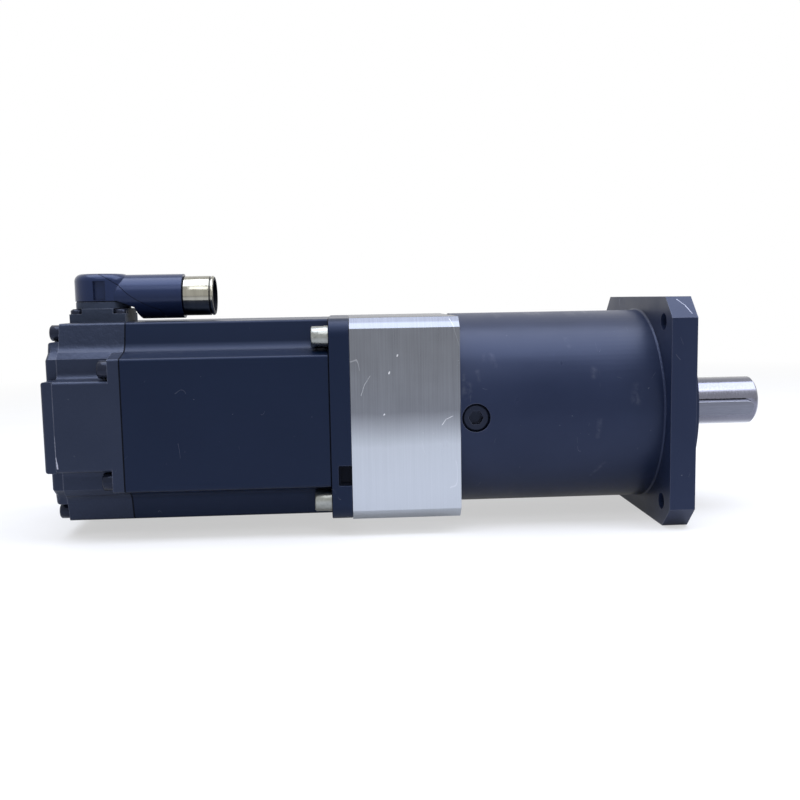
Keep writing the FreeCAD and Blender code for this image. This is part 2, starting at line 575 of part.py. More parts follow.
def inputSide():
    plate = newBody("input_bearing_plate")
    outer = f"({ringOuterDia} / 2)"
    addRevolve(plate, [(f"{caseRear} + spigotHeight", f"{outer} - rimWall"),
                       (inBearRear, f"{outer} - rimWall"),
                       (inBearRear, f"{inBearOuter} / 2 + fitGap"),
                       (inBearFront, f"{inBearOuter} / 2 + fitGap"),
                       (inBearFront, f"{inBearOuter} / 2 - plateLip"),
                       (plateFront, f"{inBearOuter} / 2 - plateLip"),
                       (plateFront, f"{outer} - rimWall"),
                       (ringRear, f"{outer} - rimWall"), (ringRear, outer),
                       (f"{caseRear} + spigotHeight", outer)])
    addPocket(plate, [(plugStation, "0", "plugDia")], "0", f"{caseDia} / 2", "XZ_Plane")
    hub = newBody("hub_blank", False)
    teethRear = f"({windowRear} + sideGap)"
    shoulder = f"({inBearFront} + hubShoulder)"
    addRevolve(hub, [(colletRear, "0"), (teethRear, "0"), (teethRear, "sunShaftDia / 2"),
                     (shoulder, "sunShaftDia / 2"), (shoulder, "inBearBore / 2 + hubShoulder"),
                     (inBearFront, "inBearBore / 2 + hubShoulder"),
                     (inBearFront, "inBearBore / 2 - fitGap"),
                     (inBearRear, "inBearBore / 2 - fitGap"), (inBearRear, f"{colletDia} / 2"),
                     (colletRear, f"{colletDia} / 2")])
    addPocket(hub, [("0", "0", "motorShaftDia + 2 * fitGap")], colletRear,
              f"{motorShaftTip} + overcut")
    addPocket(hub, [box("-colletSlit / 2", "colletSlit / 2", f"-{colletDia}", colletDia)],
              colletRear, f"{inBearRear} - colletRoot")
    teeth = doc.addObject("Part::Feature", "sun_teeth")
    teeth.Shape = externalGear(round(number("sunTeeth")), number("planetWidth"),
                               180 / number("sunTeeth"))
    place(teeth, teethRear)
    sun = doc.addObject("Part::Fuse", "sun_gear_hub")
    sun.Label = "sun_gear_hub"
    sun.Base = hub
    sun.Tool = teeth
    nodes.append(sun)
    ring = newBody("clamp_ring")
    addRevolve(ring, box(clampRear, f"{clampRear} + clampRingWidth", f"{colletDia} / 2 + fitGap",
                         f"{clampRingDia} / 2"))
    addPocket(ring, [(plugStation, "0", "clampScrewDia + 2 * fitGap")], "0",
              f"{clampRingDia} / 2 + overcut", "XZ_Plane")
    screw = newBody("clamp_screw")
    addPad(screw, [(plugStation, "0", "clampScrewDia")], f"{colletDia} / 2 + fitGap",
           f"{clampRingDia} / 2 - sideGap", "XZ_Plane")
    plug = newBody("clamp_access_plug")
    face = f"({caseDia} / 2 - plugSunk)"
    addPad(plug, [(plugStation, "0", "plugDia - 2 * fitGap")], f"{face} - plugThick", face,
           "XZ_Plane")
    dressEdges(plug, "Chamfer", "plugSunk", lambda edge: edge.BoundBox.YMax < -number(face) + touching)
    flat = "(plugSocket / 2)"
    point = "(plugSocket / 2 / cos(30))"
    hexagon = [(f"{plugStation} + {point}", "0"), (f"{plugStation} + {point} / 2", flat),
               (f"{plugStation} - {point} / 2", flat), (f"{plugStation} - {point}", "0"),
               (f"{plugStation} - {point} / 2", f"-{flat}"),
               (f"{plugStation} + {point} / 2", f"-{flat}")]
    addPocket(plug, [hexagon], f"{face} - plugSocketDepth", face, "XZ_Plane")


def adapter():
    body = newBody("adapter_block")
    addPad(body, [bevelledSquare(motorFlangeWidth, "adapterCorner")], adapterRear, caseRear)
    addPad(body, [("0", "0", ringOuterDia)], caseRear, f"{caseRear} + spigotHeight")
    recess = f"({adapterRear} + motorPilotHeight + sideGap)"
    addRevolve(body, [(adapterRear, "0"), (adapterRear, f"{housingBore} / 2 + fitGap"),
                      (recess, f"{housingBore} / 2 + fitGap"), (recess, f"{adapterBore} / 2"),
                      (f"{caseRear} + spigotHeight", f"{adapterBore} / 2"),
                      (f"{caseRear} + spigotHeight", "0")], "Groove")
    addPocket(body, ringOf(f"{motorBoltCircle} / 2", "4", "45", "motorScrewDia + 2 * fitGap"),
              adapterRear, f"{adapterRear} + motorScrewReach + overcut")
    circle = f"{adapterScrewCircle} / 2"
    addPocket(body, ringOf(circle, "4", "45", "adapterScrewDia + screwClear"), adapterRear,
              f"{caseRear} + spigotHeight")
    seat = f"({caseRear} - adapterFloor)"
    addPocket(body, ringOf(circle, "4", "45", "adapterHeadDia + screwClear"), adapterRear, seat)
    screws = newBody("adapter_screws")
    addPad(screws, ringOf(circle, "4", "45", "adapterScrewDia"), seat,
           f"{caseRear} + adapterScrewReach")
    addPad(screws, ringOf(circle, "4", "45", "adapterHeadDia"), f"{seat} - adapterHeadHeight",
           seat)


def motorFlange():
    body = newBody("motor_front_flange")
    half = f"({motorFlangeWidth} / 2)"
    addPad(body, [box(f"-{half}", half, f"-{half}", half)], motorFlangeRear, adapterRear)
    dressEdges(body, "Fillet", "motorFlangeCorner", runsAlongX)
    addPad(body, [("0", "0", housingBore)], adapterRear, f"{adapterRear} + motorPilotHeight")
    addPad(body, [("0", "0", housingBore)], f"{motorFlangeRear} - housingSpigot",
           motorFlangeRear)
    addPad(body, [("0", "0", bearingBossDia)], bossRear, motorFlangeRear)
    front = f"({adapterRear} + motorPilotHeight)"
    sealSeat = f"({front} - motorSealWidth)"
    addRevolve(body, [(bossRear, "0"), (bossRear, f"{frontBearOuter} / 2 + fitGap"),
                      (motorBearFront, f"{frontBearOuter} / 2 + fitGap"),
                      (motorBearFront, f"{motorSealOuter} / 2 - motorSealStop"),
                      (sealSeat, f"{motorSealOuter} / 2 - motorSealStop"),
                      (sealSeat, f"{motorSealOuter} / 2 + fitGap"),
                      (front, f"{motorSealOuter} / 2 + fitGap"), (front, "0")], "Groove")
    addPocket(body, ringOf(f"{motorBoltCircle} / 2", "4", "45", "motorScrewDia + screwClear"),
              motorFlangeRear, adapterRear)
    notchRear = f"{adapterRear} - notchWidth"
    addPocket(body, [box(notchRear, adapterRear, "-notchDrop - notchHeight", "-notchDrop")],
              f"{half} - notchDepth", half, "XZ_Plane")
    shaftSeal("motor_shaft_seal", sealSeat, front, motorSealOuter, "motorShaftDia")
    screws = newBody("motor_flange_screws")
    circle = f"{motorBoltCircle} / 2"
    washer = f"({motorFlangeRear} - washerThick)"
    addPad(screws, ringOf(circle, "4", "45", "motorScrewDia"), washer,
           f"{adapterRear} + motorScrewReach")
    addPad(screws, ringOf(circle, "4", "45", "washerDia"), washer, motorFlangeRear)
    addPad(screws, ringOf(circle, "4", "45", "motorHeadDia"),
           f"{washer} - motorHeadHeight", washer)


# corners of the stepped housing section in its first quarter, from the side panel to the top
panelEdge = (housingTop, f"({panelWidth} / 2)")
notchCorner = (cornerInset, cornerInset)
topEdge = (f"({panelWidth} / 2)", housingTop)
screwRecess = [(f"({housingWidth} / 2 + overcut)", f"({boxHeight} / 2)"),
               (recessSide, f"({boxHeight} / 2)"), (recessSide, f"({panelWidth} / 2)"),
               (f"({cornerInset} + recessEdge)", f"({cornerInset} + recessEdge)"),
               (f"({housingWidth} / 2 + overcut)", f"({cornerInset} + recessEdge)")]


def fourCopies(corners):
    # the same outline in each quarter of a section
    copies = []
    for sideY in ("", "-"):
        for sideZ in ("", "-"):
            copies.append([(f"{sideY}{y}", f"{sideZ}{z}") for y, z in corners])
    return copies


def fourPlaces(across, up, diameter):
    places = []
    for sideY in ("", "-"):
        for sideZ in ("", "-"):
            places.append((f"{sideY}{across} / 2", f"{sideZ}{up} / 2", diameter))
    return places


def alongXAt(edge, place):
    # along X, at this place in any quarter of the section
    box = edge.BoundBox
    return (runsAlongX(edge) and abs(abs(box.YMin) - place[0]) < touching
            and abs(abs(box.ZMin) - place[1]) < touching)


def inNotch(edge):
    # along X, in one of the section's four inner corners
    return runsAlongX(edge) and abs(abs(edge.BoundBox.YMin) - number(cornerInset)) < touching


def roundSection(body):
    dressEdges(body, "Fillet", "notchFillet", inNotch)
    onPanel = number(f"{panelWidth} / 2")
    dressEdges(body, "Fillet", "panelRound", lambda edge: runsAlongX(edge)
               and min(abs(edge.BoundBox.YMin), abs(edge.BoundBox.ZMin)) - onPanel < touching)


def motorHousing():
    body = newBody("motor_housing")
    addPad(body, [mirrorFour([panelEdge, notchCorner, topEdge])], housingRear, motorFlangeRear)
    roundSection(body)
    addPocket(body, [("0", "0", f"{housingBore} + 2 * fitGap")], housingRear, motorFlangeRear)
    depth = f"{housingRear} + screwReach + overcut"
    addPocket(body, fourPlaces(tieAcross, tieUp, "tieScrewDia + 2 * fitGap"), housingRear,
              depth)
    addPocket(body, fourPlaces(shieldScrewAcross, shieldScrewUp,
                               "shieldScrewDia + 2 * fitGap"), housingRear, depth)


def statorAndWindings():
    core = newBody("stator_core")
    addPad(core, [("0", "0", housingBore), ("0", "0", coreInner)], coreRear,
           coreFront)
    inner = f"({coreInner} / 2 + slotShoulder)"
    outer = f"({housingBore} / 2 - coreBack)"
    slot = [("-slotMouth / 2", f"{coreInner} / 2 - overcut"),
            ("slotMouth / 2", f"{coreInner} / 2 - overcut"),
            ("slotMouth / 2", f"{coreInner} / 2 + slotLip"), ("slotFoot / 2", inner),
            ("slotHead / 2", outer), ("-slotHead / 2", outer), ("-slotFoot / 2", inner),
            ("-slotMouth / 2", f"{coreInner} / 2 + slotLip")]
    repeatRound(core, addPocket(core, [slot], coreRear, coreFront), "slotCount")
    winding = newBody("stator_windings")
    low = f"({inner} + wireGap)"
    high = f"({outer} - wireGap)"
    foot = "(slotFoot / 2 - wireGap)"
    head = "(slotHead / 2 - 2 * wireGap)"
    bar = [(f"-{foot}", low), (foot, low), (head, high), (f"-{head}", high)]
    for start, end in ((f"({coreRear} - endTurn)", coreRear),
                       (coreFront, f"({coreFront} + endTurn)")):
        addRevolve(winding, [(start, f"{low} + turnEdge"), (f"{start} + turnEdge", low),
                             (f"{end} - turnEdge", low), (end, f"{low} + turnEdge"),
                             (end, f"{high} - turnEdge"), (f"{end} - turnEdge", high),
                             (f"{start} + turnEdge", high), (start, f"{high} - turnEdge")])
    repeatRound(winding, addPad(winding, [bar], f"{coreRear} - turnOverlap",
                                f"{coreFront} + turnOverlap"), "slotCount")


def rotor():
    shaft = newBody("motor_shaft")
    seat = f"{rotorSeatDia} / 2 - fitGap"
    collar = f"{rotorSeatDia} / 2 + shaftCollar"
    addRevolve(shaft, [(boardFront, "0"), (motorShaftTip, "0"),
                       (motorShaftTip, "motorShaftDia / 2 - shaftEdge"),
                       (f"{motorShaftTip} - shaftEdge", "motorShaftDia / 2"),
                       (motorBearFront, "motorShaftDia / 2"),
                       (motorBearFront, f"{frontBearBore} / 2 - fitGap"),
                       (motorBearRear, f"{frontBearBore} / 2 - fitGap"),
                       (motorBearRear, collar), (coreFront, collar),
                       (coreFront, seat), (coreRear, seat),
                       (backMotorBearFront, "rearBearBore / 2 + 2 * shaftCollar"),
                       (backMotorBearFront, "rearBearBore / 2 - fitGap"),
                       (backMotorBearRear, "rearBearBore / 2 - fitGap"),
                       (backMotorBearRear, f"{encoderShaftDia} / 2"),
                       (boardFront, f"{encoderShaftDia} / 2")])
    core = newBody("rotor_core")
    addPad(core, [("0", "0", rotorDia), ("0", "0", rotorSeatDia)], coreRear,
           coreFront)
    magnets = newBody("rotor_magnets")
    inner = f"({rotorDia} / 2 + fitGap)"
    outer = f"({rotorDia} / 2 + magnetThick)"
    addPad(magnets, [("0", "0", f"2 * {outer}"), ("0", "0", f"2 * {inner}")], coreRear,
           coreFront)
    gap = box("-magnetSplit / 2", "magnetSplit / 2", f"{inner} - overcut", f"{outer} + overcut")
    split = addPocket(magnets, [gap], coreRear, coreFront)
    repeatRound(magnets, split, "magnetCount")
    disc = newBody("encoder_disc")
    bore = f"({encoderShaftDia} / 2 + fitGap)"
    rear = f"({discFront} - encoderDiscThick)"
    addRevolve(disc, [(rear, bore), (f"{discFront} + discHub", bore),
                      (f"{discFront} + discHub", f"{encoderShaftDia} / 2 + discHubWall"),
                      (discFront, f"{encoderShaftDia} / 2 + discHubWall"),
                      (discFront, "encoderDiscDia / 2"),
                      (rear, "encoderDiscDia / 2")])


def rearShield():
    body = newBody("rear_end_shield")
    flangeRear = f"({housingRear} - shieldFlange)"
    addPad(body, [mirrorFour([panelEdge, notchCorner, topEdge])], shieldRear, housingRear)
    roundSection(body)
    addPocket(body, fourCopies(screwRecess), shieldRear, flangeRear)
    rounded = (("coverEdge", f"({housingWidth} / 2)"), ("recessFillet", recessSide))
    for radius, side in rounded:
        place = number(side), number(f"{boxHeight} / 2")
        dressEdges(body, "Fillet", radius, lambda edge: alongXAt(edge, place))
    cavity = f"{encoderCavityDia} / 2"
    passage = f"({encoderShaftDia} / 2 + overcut)"
    addRevolve(body, [(shieldRear, "0"), (shieldRear, cavity), (boardFront, cavity),
                      (boardFront, f"{cavity} - boardSeat"), (cavityFront, f"{cavity} - boardSeat"),
                      (cavityFront, passage), (backMotorBearRear, passage),
                      (backMotorBearRear, f"{rearBearOuter} / 2 + fitGap"),
                      (housingRear, f"{rearBearOuter} / 2 + fitGap"), (housingRear, "0")], "Groove")
    addPocket(body, fourPlaces(tieAcross, tieUp, "tieScrewDia + screwClear"), shieldRear,
              housingRear)
    addPocket(body, fourPlaces(shieldScrewAcross, shieldScrewUp,
                               "shieldScrewDia + screwClear"), flangeRear, housingRear)
    pitch = f"({baseScrewPitch} / 2)"
    threads = []
    for x in (f"{connectorStation} - {pitch}", f"{connectorStation} + {pitch}"):
        for y in (f"-{pitch}", pitch):
            threads.append((x, y, "baseScrewDia + 2 * fitGap"))
    addPocket(body, threads, f"{housingTop} - baseScrewReach - overcut", housingTop, "XY_Plane")
    ties = newBody("rear_tie_screws")
    addPad(ties, fourPlaces(tieAcross, tieUp, "tieScrewDia"), shieldRear,
           f"{housingRear} + screwReach")
    addPad(ties, fourPlaces(tieAcross, tieUp, "tieHeadDia"), f"{shieldRear} - tieHeadHeight",
           shieldRear)
    screws = newBody("rear_shield_screws")
    addPad(screws, fourPlaces(shieldScrewAcross, shieldScrewUp, "shieldScrewDia"),
           flangeRear, f"{housingRear} + screwReach")
    addPad(screws, fourPlaces(shieldScrewAcross, shieldScrewUp, "shieldHeadDia"),
           f"{flangeRear} - shieldHeadHeight", flangeRear)
    board = newBody("encoder_board")
    addPad(board, [("0", "0", f"{encoderCavityDia} - 2 * fitGap"),
                   ("0", "0", f"{encoderShaftDia} + 2 * shaftTail")],
           f"{boardFront} - boardThick", boardFront)


def rearCover():
    body = newBody("rear_cover")
    tieInner = f"({tieAcross} / 2 - tieHeadDia / 2 - headClear)"
    tieLower = f"({tieUp} / 2 - tieHeadDia / 2 - headClear)"
    quarter = [(f"({housingWidth} / 2)", f"({boxHeight} / 2)"), (recessSide, f"({boxHeight} / 2)"),
               (recessSide, f"({panelWidth} / 2)"), notchCorner,
               (f"({cornerInset} - recessEdge)", tieLower), (tieInner, tieLower),
               (tieInner, f"({housingTop} - recessEdge)")]
    addPad(body, [mirrorFour(quarter)], coverRear, shieldRear)
    dressEdges(body, "Fillet", "coverEdge", lambda edge: liesAt(edge, coverRear))


def connectorBase():
    body = newBody("connector_base")
    half = "(headDia / 2)"
    addPad(body, [box(f"-{half}", half, f"-{half}", half)], housingTop, earTop, "XY_Plane")
    arm = f"({bossWidth} / 2)"
    addPad(body, [mirrorFour([(half, arm), (arm, arm), (arm, half)])], earTop, baseTop, "XY_Plane")
    addPad(body, [("0", "0", "headDia - 2 * neckStep")], baseTop, neckTop, "XY_Plane")
    addPocket(body, [("0", "0", "baseHole")], housingTop, neckTop, "XY_Plane")
    pitch = f"({baseScrewPitch} / 2)"
    corners = [(x, y) for x in (f"-{pitch}", pitch) for y in (f"-{pitch}", pitch)]
    addPocket(body, [(x, y, "baseScrewDia + screwClear") for x, y in corners], housingTop, earTop,
              "XY_Plane")
    place(body, connectorStation)
    screws = newBody("connector_base_screws")
    addPad(screws, [(x, y, "baseScrewDia") for x, y in corners], f"{housingTop} - baseScrewReach",
           earTop, "XY_Plane")
    addPad(screws, [(x, y, "baseHeadDia") for x, y in corners], earTop,
           f"{earTop} + baseHeadHeight", "XY_Plane")
    place(screws, connectorStation)


def seamRegion(label, shift):
    # everything on the plug side of the seam that runs down the connector in a long S
    region = newBody(label, False)
    far = "(barrelReach + overcut)"
    top = f"({headTop} + overcut)"
    corners = [(f"{shift} - seamStart", top, "-seamCrown"),
               (f"{shift} + seamMiddle", f"{barrelHeight} + seamRise", "seamFoot"),
               (f"{shift} + seamEnd", f"{barrelHeight} - seamDrop"),
               (f"{shift} + seamEnd + seamTail", housingTop), (far, housingTop),
               (far, top)]
    addPad(region, [corners], "-headDia", "headDia", "XZ_Plane")
    return region


def connectorShell():
    shell = newBody("connector_shell", False)
    addRevolve(shell, [("0", headBottom), ("headDia / 2", headBottom), ("headDia / 2", headTop),
                       ("0", headTop)], axis="V_Axis")
    dressEdges(shell, "Fillet", "headEdge",
               lambda edge: abs(edge.BoundBox.ZMin - number(headTop)) < touching)
    addPad(shell, [("0", barrelHeight, "barrelDia")], "0", "barrelReach")
    clear = "(headDia * sqrt(2) / 2 + screwClear)"
    addRevolve(shell, [("0", headBottom), ("headDia / 2 + screwClear", headBottom),
                       (clear, f"{baseTop} + partGap"), (clear, housingTop), ("0", housingTop)],
               "Groove", "V_Axis")
    addPocket(shell, [("0", barrelHeight, barrelBore)], "0", "barrelReach")
    addPocket(shell, [("0", "0", "baseHole")], headBottom, barrelHeight, "XY_Plane")
    latch = box("-latchBack", "latchWidth - latchBack", f"{headBottom} + latchRise",
                f"{headBottom} + latchRise + latchHeight")
    addPocket(shell, [latch], latchFloor, "headDia / 2 + overcut", "XZ_Plane")
    for label, kind, shift in (("connector_body", "Part::Common", "0"),
                               ("connector_cap", "Part::Cut", "(-seamGap)")):
        piece = doc.addObject(kind, label)
        piece.Label = label
        piece.Base = shell
        piece.Tool = seamRegion(f"{label}_side", shift)
        place(piece, connectorStation)
        nodes.append(piece)


def couplingParts():
    sleeve = newBody("coupling_sleeve")
    end = "(barrelReach + sleeveLength)"
    outer = f"({sleeveDia} / 2)"
    floor = f"({outer} - sleeveEdge)"
    addRevolve(sleeve, [("barrelReach - sleeveTail", f"{sleeveBore} / 2"), (end, f"{sleeveBore} / 2"),
                        (end, f"{outer} - sleeveEdge"), (f"{end} - sleeveEdge", outer),
                        (f"{end} - rimInset", outer), (f"{end} - rimInset", floor),
                        (f"{end} - rimInset - rimGroove", floor),
                        (f"{end} - rimInset - rimGroove", outer),
                        ("barrelReach", outer), ("barrelReach", f"{barrelBore} / 2 - fitGap"),
                        ("barrelReach - sleeveTail", f"{barrelBore} / 2 - fitGap")])
    insert = newBody("connector_insert")
    face = f"({end} - mouthDepth)"
    addPad(insert, [("0", "0", f"{sleeveBore} - 2 * fitGap")], f"{face} - insertLength", face)
    contacts = ringOf(f"({sleeveBore} / 2 - contactInset)", "contactCount", "0", "contactDia")
    holes = [(y, z, "contactDia + 2 * fitGap") for y, z, _ in contacts]
    addPocket(insert, holes, f"{face} - insertLength", face)
    pins = newBody("contact_pins")
    addPad(pins, contacts, f"{face} - insertLength", f"{face} + contactReach")
    for item in (sleeve, insert, pins):
        place(item, connectorStation, "0", barrelHeight)


def bearings():
    bearing("front_output_bearing", f"({sealRear} - sideGap)", "outBearWidth", journalDia,
            outBearOuter, "outBall", "outBallCount")
    bearing("rear_output_bearing", backBearFront, "outBearWidth", journalDia, outBearOuter,
            "outBall", "outBallCount")
    bearing("input_bearing", inBearFront, "inBearWidth", "inBearBore", inBearOuter, "inBall",
            "inBallCount")
    bearing("motor_front_bearing", motorBearFront, "frontBearWidth", frontBearBore,
            frontBearOuter, "frontBall", "motorBallCount")
    bearing("motor_rear_bearing", backMotorBearFront, "rearBearWidth", "rearBearBore",
            rearBearOuter, "rearBall", "motorBallCount")


def checkAndWrite():
    doc.recompute()
    for item in doc.Objects:
        if {"Invalid", "Error"} & set(item.State):
            raise RuntimeError(f"{item.Label} failed: {item.State}")
        if item.TypeId in ("PartDesign::Pocket", "PartDesign::Groove"):
            if not item.Shape.Volume < item.BaseFeature.Shape.Volume - touching:
                raise RuntimeError(f"{item.Label} cuts nothing")
    os.makedirs("parts", exist_ok=True)
    for node in nodes:
        if node.Shape.isNull() or not node.Shape.isValid() or not node.Shape.Solids:
            raise RuntimeError(f"{node.Label} has no sound shape")
        node.Shape.exportStep(f"parts/{node.Label}.step")
    print(len(nodes), "pieces written")


gearHousing()
ringGear()
shaftSeal("output_shaft_seal", sealRear, "(pilotHeight - sealRecess)", outBearOuter, journalDia)
outputShaft()
planets()
inputSide()
adapter()
motorFlange()
motorHousing()
statorAndWindings()
rotor()
rearShield()
rearCover()
connectorBase()
connectorShell()
couplingParts()
bearings()
checkAndWrite()
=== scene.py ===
import bpy
import bmesh
import json
import math
from mathutils import Matrix, Vector

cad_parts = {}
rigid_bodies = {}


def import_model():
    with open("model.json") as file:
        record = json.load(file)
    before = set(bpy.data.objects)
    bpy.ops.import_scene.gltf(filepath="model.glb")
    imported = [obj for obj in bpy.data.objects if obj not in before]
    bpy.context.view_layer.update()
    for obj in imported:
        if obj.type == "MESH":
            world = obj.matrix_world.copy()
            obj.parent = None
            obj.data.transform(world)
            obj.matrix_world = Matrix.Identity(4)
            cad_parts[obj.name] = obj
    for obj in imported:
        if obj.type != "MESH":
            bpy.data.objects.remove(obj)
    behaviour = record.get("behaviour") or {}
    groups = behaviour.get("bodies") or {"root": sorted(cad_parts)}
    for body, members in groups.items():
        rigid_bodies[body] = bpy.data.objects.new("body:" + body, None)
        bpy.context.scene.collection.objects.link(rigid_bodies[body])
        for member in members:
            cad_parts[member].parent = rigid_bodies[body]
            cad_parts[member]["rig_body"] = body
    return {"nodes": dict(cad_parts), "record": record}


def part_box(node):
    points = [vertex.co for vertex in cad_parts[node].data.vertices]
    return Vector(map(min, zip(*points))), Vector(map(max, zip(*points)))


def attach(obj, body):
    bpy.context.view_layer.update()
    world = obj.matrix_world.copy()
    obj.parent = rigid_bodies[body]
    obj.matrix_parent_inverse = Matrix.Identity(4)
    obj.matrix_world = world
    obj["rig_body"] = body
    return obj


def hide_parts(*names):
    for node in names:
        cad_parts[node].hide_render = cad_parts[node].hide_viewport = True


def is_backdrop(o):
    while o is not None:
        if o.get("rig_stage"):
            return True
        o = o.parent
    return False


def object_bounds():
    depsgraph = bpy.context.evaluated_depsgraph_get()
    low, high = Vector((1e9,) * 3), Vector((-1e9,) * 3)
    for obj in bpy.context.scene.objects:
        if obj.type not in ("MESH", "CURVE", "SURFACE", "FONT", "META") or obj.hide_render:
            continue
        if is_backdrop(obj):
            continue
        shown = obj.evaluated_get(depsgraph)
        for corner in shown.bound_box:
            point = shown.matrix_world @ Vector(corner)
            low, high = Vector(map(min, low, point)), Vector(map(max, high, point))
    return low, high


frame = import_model()
nodes = frame["nodes"]
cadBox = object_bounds()
mm = 0.001


# ---- shader helpers

# noise scales: the larger, the finer the pattern
scales = dict(cloud=26, wipes=260, wipedAndPaintedReflection=30, edgeWear=140, chips=330, gloss=48, ragged=2500,
              smudge=420, metalCloud=40, metalChips=420, plainCloud=120, plainGloss=60, floor=40)


def addNode(tree, kind, **values):
    node = tree.nodes.new(kind)
    for key, value in values.items():
        if hasattr(node, key):
            setattr(node, key, value)
        else:
            node.inputs[key.replace("_", " ")].default_value = value
    return node


def plug(tree, socket, value):
    # a socket is linked, anything else is set
    if isinstance(value, bpy.types.NodeSocket):
        tree.links.new(value, socket)
    else:
        socket.default_value = value


def calc(tree, operation, first, second=0.5):
    node = addNode(tree, "ShaderNodeMath", operation=operation)
    for socket, value in zip(node.inputs, (first, second)):
        plug(tree, socket, value)
    return node.outputs[0]


def vectorCalc(tree, operation, first, second):
    node = addNode(tree, "ShaderNodeVectorMath", operation=operation)
    for socket, value in zip(node.inputs, (first, second)):
        plug(tree, socket, value)
    return node


def blank(name):
    material = bpy.data.materials.new(name)
    material.use_nodes = True
    tree = material.node_tree
    return material, tree, tree.nodes["Principled BSDF"]


def place(tree):
    return tree.nodes.new("ShaderNodeTexCoord").outputs["Object"]


def placed(tree, stretch=(1, 1, 1), turn=(0, 0, 0)):
    # object coordinates, turned and then stretched: small numbers draw a pattern out
    turned = addNode(tree, "ShaderNodeMapping", vector_type="POINT", Rotation=turn, Scale=stretch)
    tree.links.new(place(tree), turned.inputs["Vector"])
    return turned.outputs[0]


def noise(tree, scale, detail=3, stretch=(1, 1, 1), turn=(0, 0, 0)):
    node = addNode(tree, "ShaderNodeTexNoise", Scale=scale, Detail=detail, Roughness=0.55)
    tree.links.new(placed(tree, stretch, turn), node.inputs["Vector"])
    return node.outputs["Fac"]


def spread(tree, value, low, high, fromLow=0.3, fromHigh=0.7):
    node = addNode(tree, "ShaderNodeMapRange")
    # moves fromLow..fromHigh to low..high and stops at both ends
    ends = {"From Min": fromLow, "From Max": fromHigh, "To Min": low, "To Max": high}
    for key, number in ends.items():
        node.inputs[key].default_value = number
    tree.links.new(value, node.inputs["Value"])
    return node.outputs["Result"]


def tint(tree, value, dark, light):
    node = addNode(tree, "ShaderNodeMix", data_type="RGBA")
    tree.links.new(value, node.inputs["Factor"])
    for key, colour in (("A", dark), ("B", light)):
        socket = next(s for s in node.inputs if s.name == key and s.type == "RGBA")
        plug(tree, socket, colour if isinstance(colour, bpy.types.NodeSocket) else (*colour, 1))
    return next(s for s in node.outputs if s.type == "RGBA")


def relief(tree, shader, layers):
    # stacks (height, distance) pairs into the shader's normal
    last = None
    for height, distance in layers:
        bump = addNode(tree, "ShaderNodeBump", Strength=1, Distance=distance)
        tree.links.new(height, bump.inputs["Height"])
        if last:
            tree.links.new(last, bump.inputs["Normal"])
        last = bump.outputs[0]
    tree.links.new(last, shader.inputs["Normal"])


def hairlines(tree, width, scale, stretch, turn, patch, rare):
    # thin wandering scratches: the lines where a soft noise passes its middle, kept in patches
    field = noise(tree, scale, 1, stretch, turn)
    off = calc(tree, "ABSOLUTE", calc(tree, "SUBTRACT", field, 0.5))
    line = calc(tree, "LESS_THAN", off, width)
    kept = calc(tree, "GREATER_THAN", noise(tree, patch, 2, turn=turn), rare)
    return calc(tree, "MULTIPLY", line, kept)


def specks(tree, scale, size, rare=0.56):
    # small chips and dust
    cells = addNode(tree, "ShaderNodeTexVoronoi", Scale=scale)
    tree.links.new(placed(tree), cells.inputs["Vector"])
    shaky = calc(tree, "MULTIPLY", noise(tree, scale * 3, 2), size * 2)
    dot = calc(tree, "LESS_THAN", cells.outputs["Distance"], shaky)
    kept = calc(tree, "GREATER_THAN", noise(tree, scale / 5, 2), rare)
    return calc(tree, "MULTIPLY", dot, kept)


def stroke(tree, begin, finish, width, soft):
    # one scratch, nick or soft smudge between two places, given in millimetres
    start, along = Vector(begin) * mm, (Vector(finish) - Vector(begin)) * mm
    off = vectorCalc(tree, "SUBTRACT", place(tree), start).outputs["Vector"]
    share = calc(tree, "DIVIDE", vectorCalc(tree, "DOT_PRODUCT", off, along).outputs["Value"],
                 along.length_squared)
    limited = addNode(tree, "ShaderNodeClamp")
    tree.links.new(share, limited.inputs["Value"])
    nearest = addNode(tree, "ShaderNodeVectorMath", operation="SCALE")
    nearest.inputs[0].default_value = along
    tree.links.new(limited.outputs[0], nearest.inputs["Scale"])
    gap = vectorCalc(tree, "DISTANCE", off, nearest.outputs["Vector"]).outputs["Value"]
    if soft:
        patchy = spread(tree, noise(tree, scales["smudge"], 5), 0, 1, 0.40, 0.62)
        fading = spread(tree, gap, 1, 0, 0.1 * width * mm, 1.2 * width * mm)
        return calc(tree, "MULTIPLY", fading, patchy)
    ragged = calc(tree, "MULTIPLY", noise(tree, scales["ragged"], 3), width * 2 * mm)
    return calc(tree, "LESS_THAN", gap, ragged)


def strokes(tree, marks, soft=False):
    whole = None
    for mark in marks:
        one = stroke(tree, *mark, soft)
        whole = calc(tree, "MAXIMUM", whole, one) if whole else one
    return whole


def alongAxis(tree, axis):
    # the object coordinate along one axis
    apart = tree.nodes.new("ShaderNodeSeparateXYZ")
    tree.links.new(place(tree), apart.inputs[0])
    return apart.outputs[axis]


def seams(tree, stations, width):
    # dirt in the joints across the unit, at these places along X
    along = alongAxis(tree, "X")
    whole = None
    for station in stations:
        off = calc(tree, "ABSOLUTE", calc(tree, "SUBTRACT", along, station * mm))
        line = calc(tree, "LESS_THAN", off, width * mm)
        whole = calc(tree, "MAXIMUM", whole, line) if whole else line
    return calc(tree, "MULTIPLY", whole, dirt["share"])


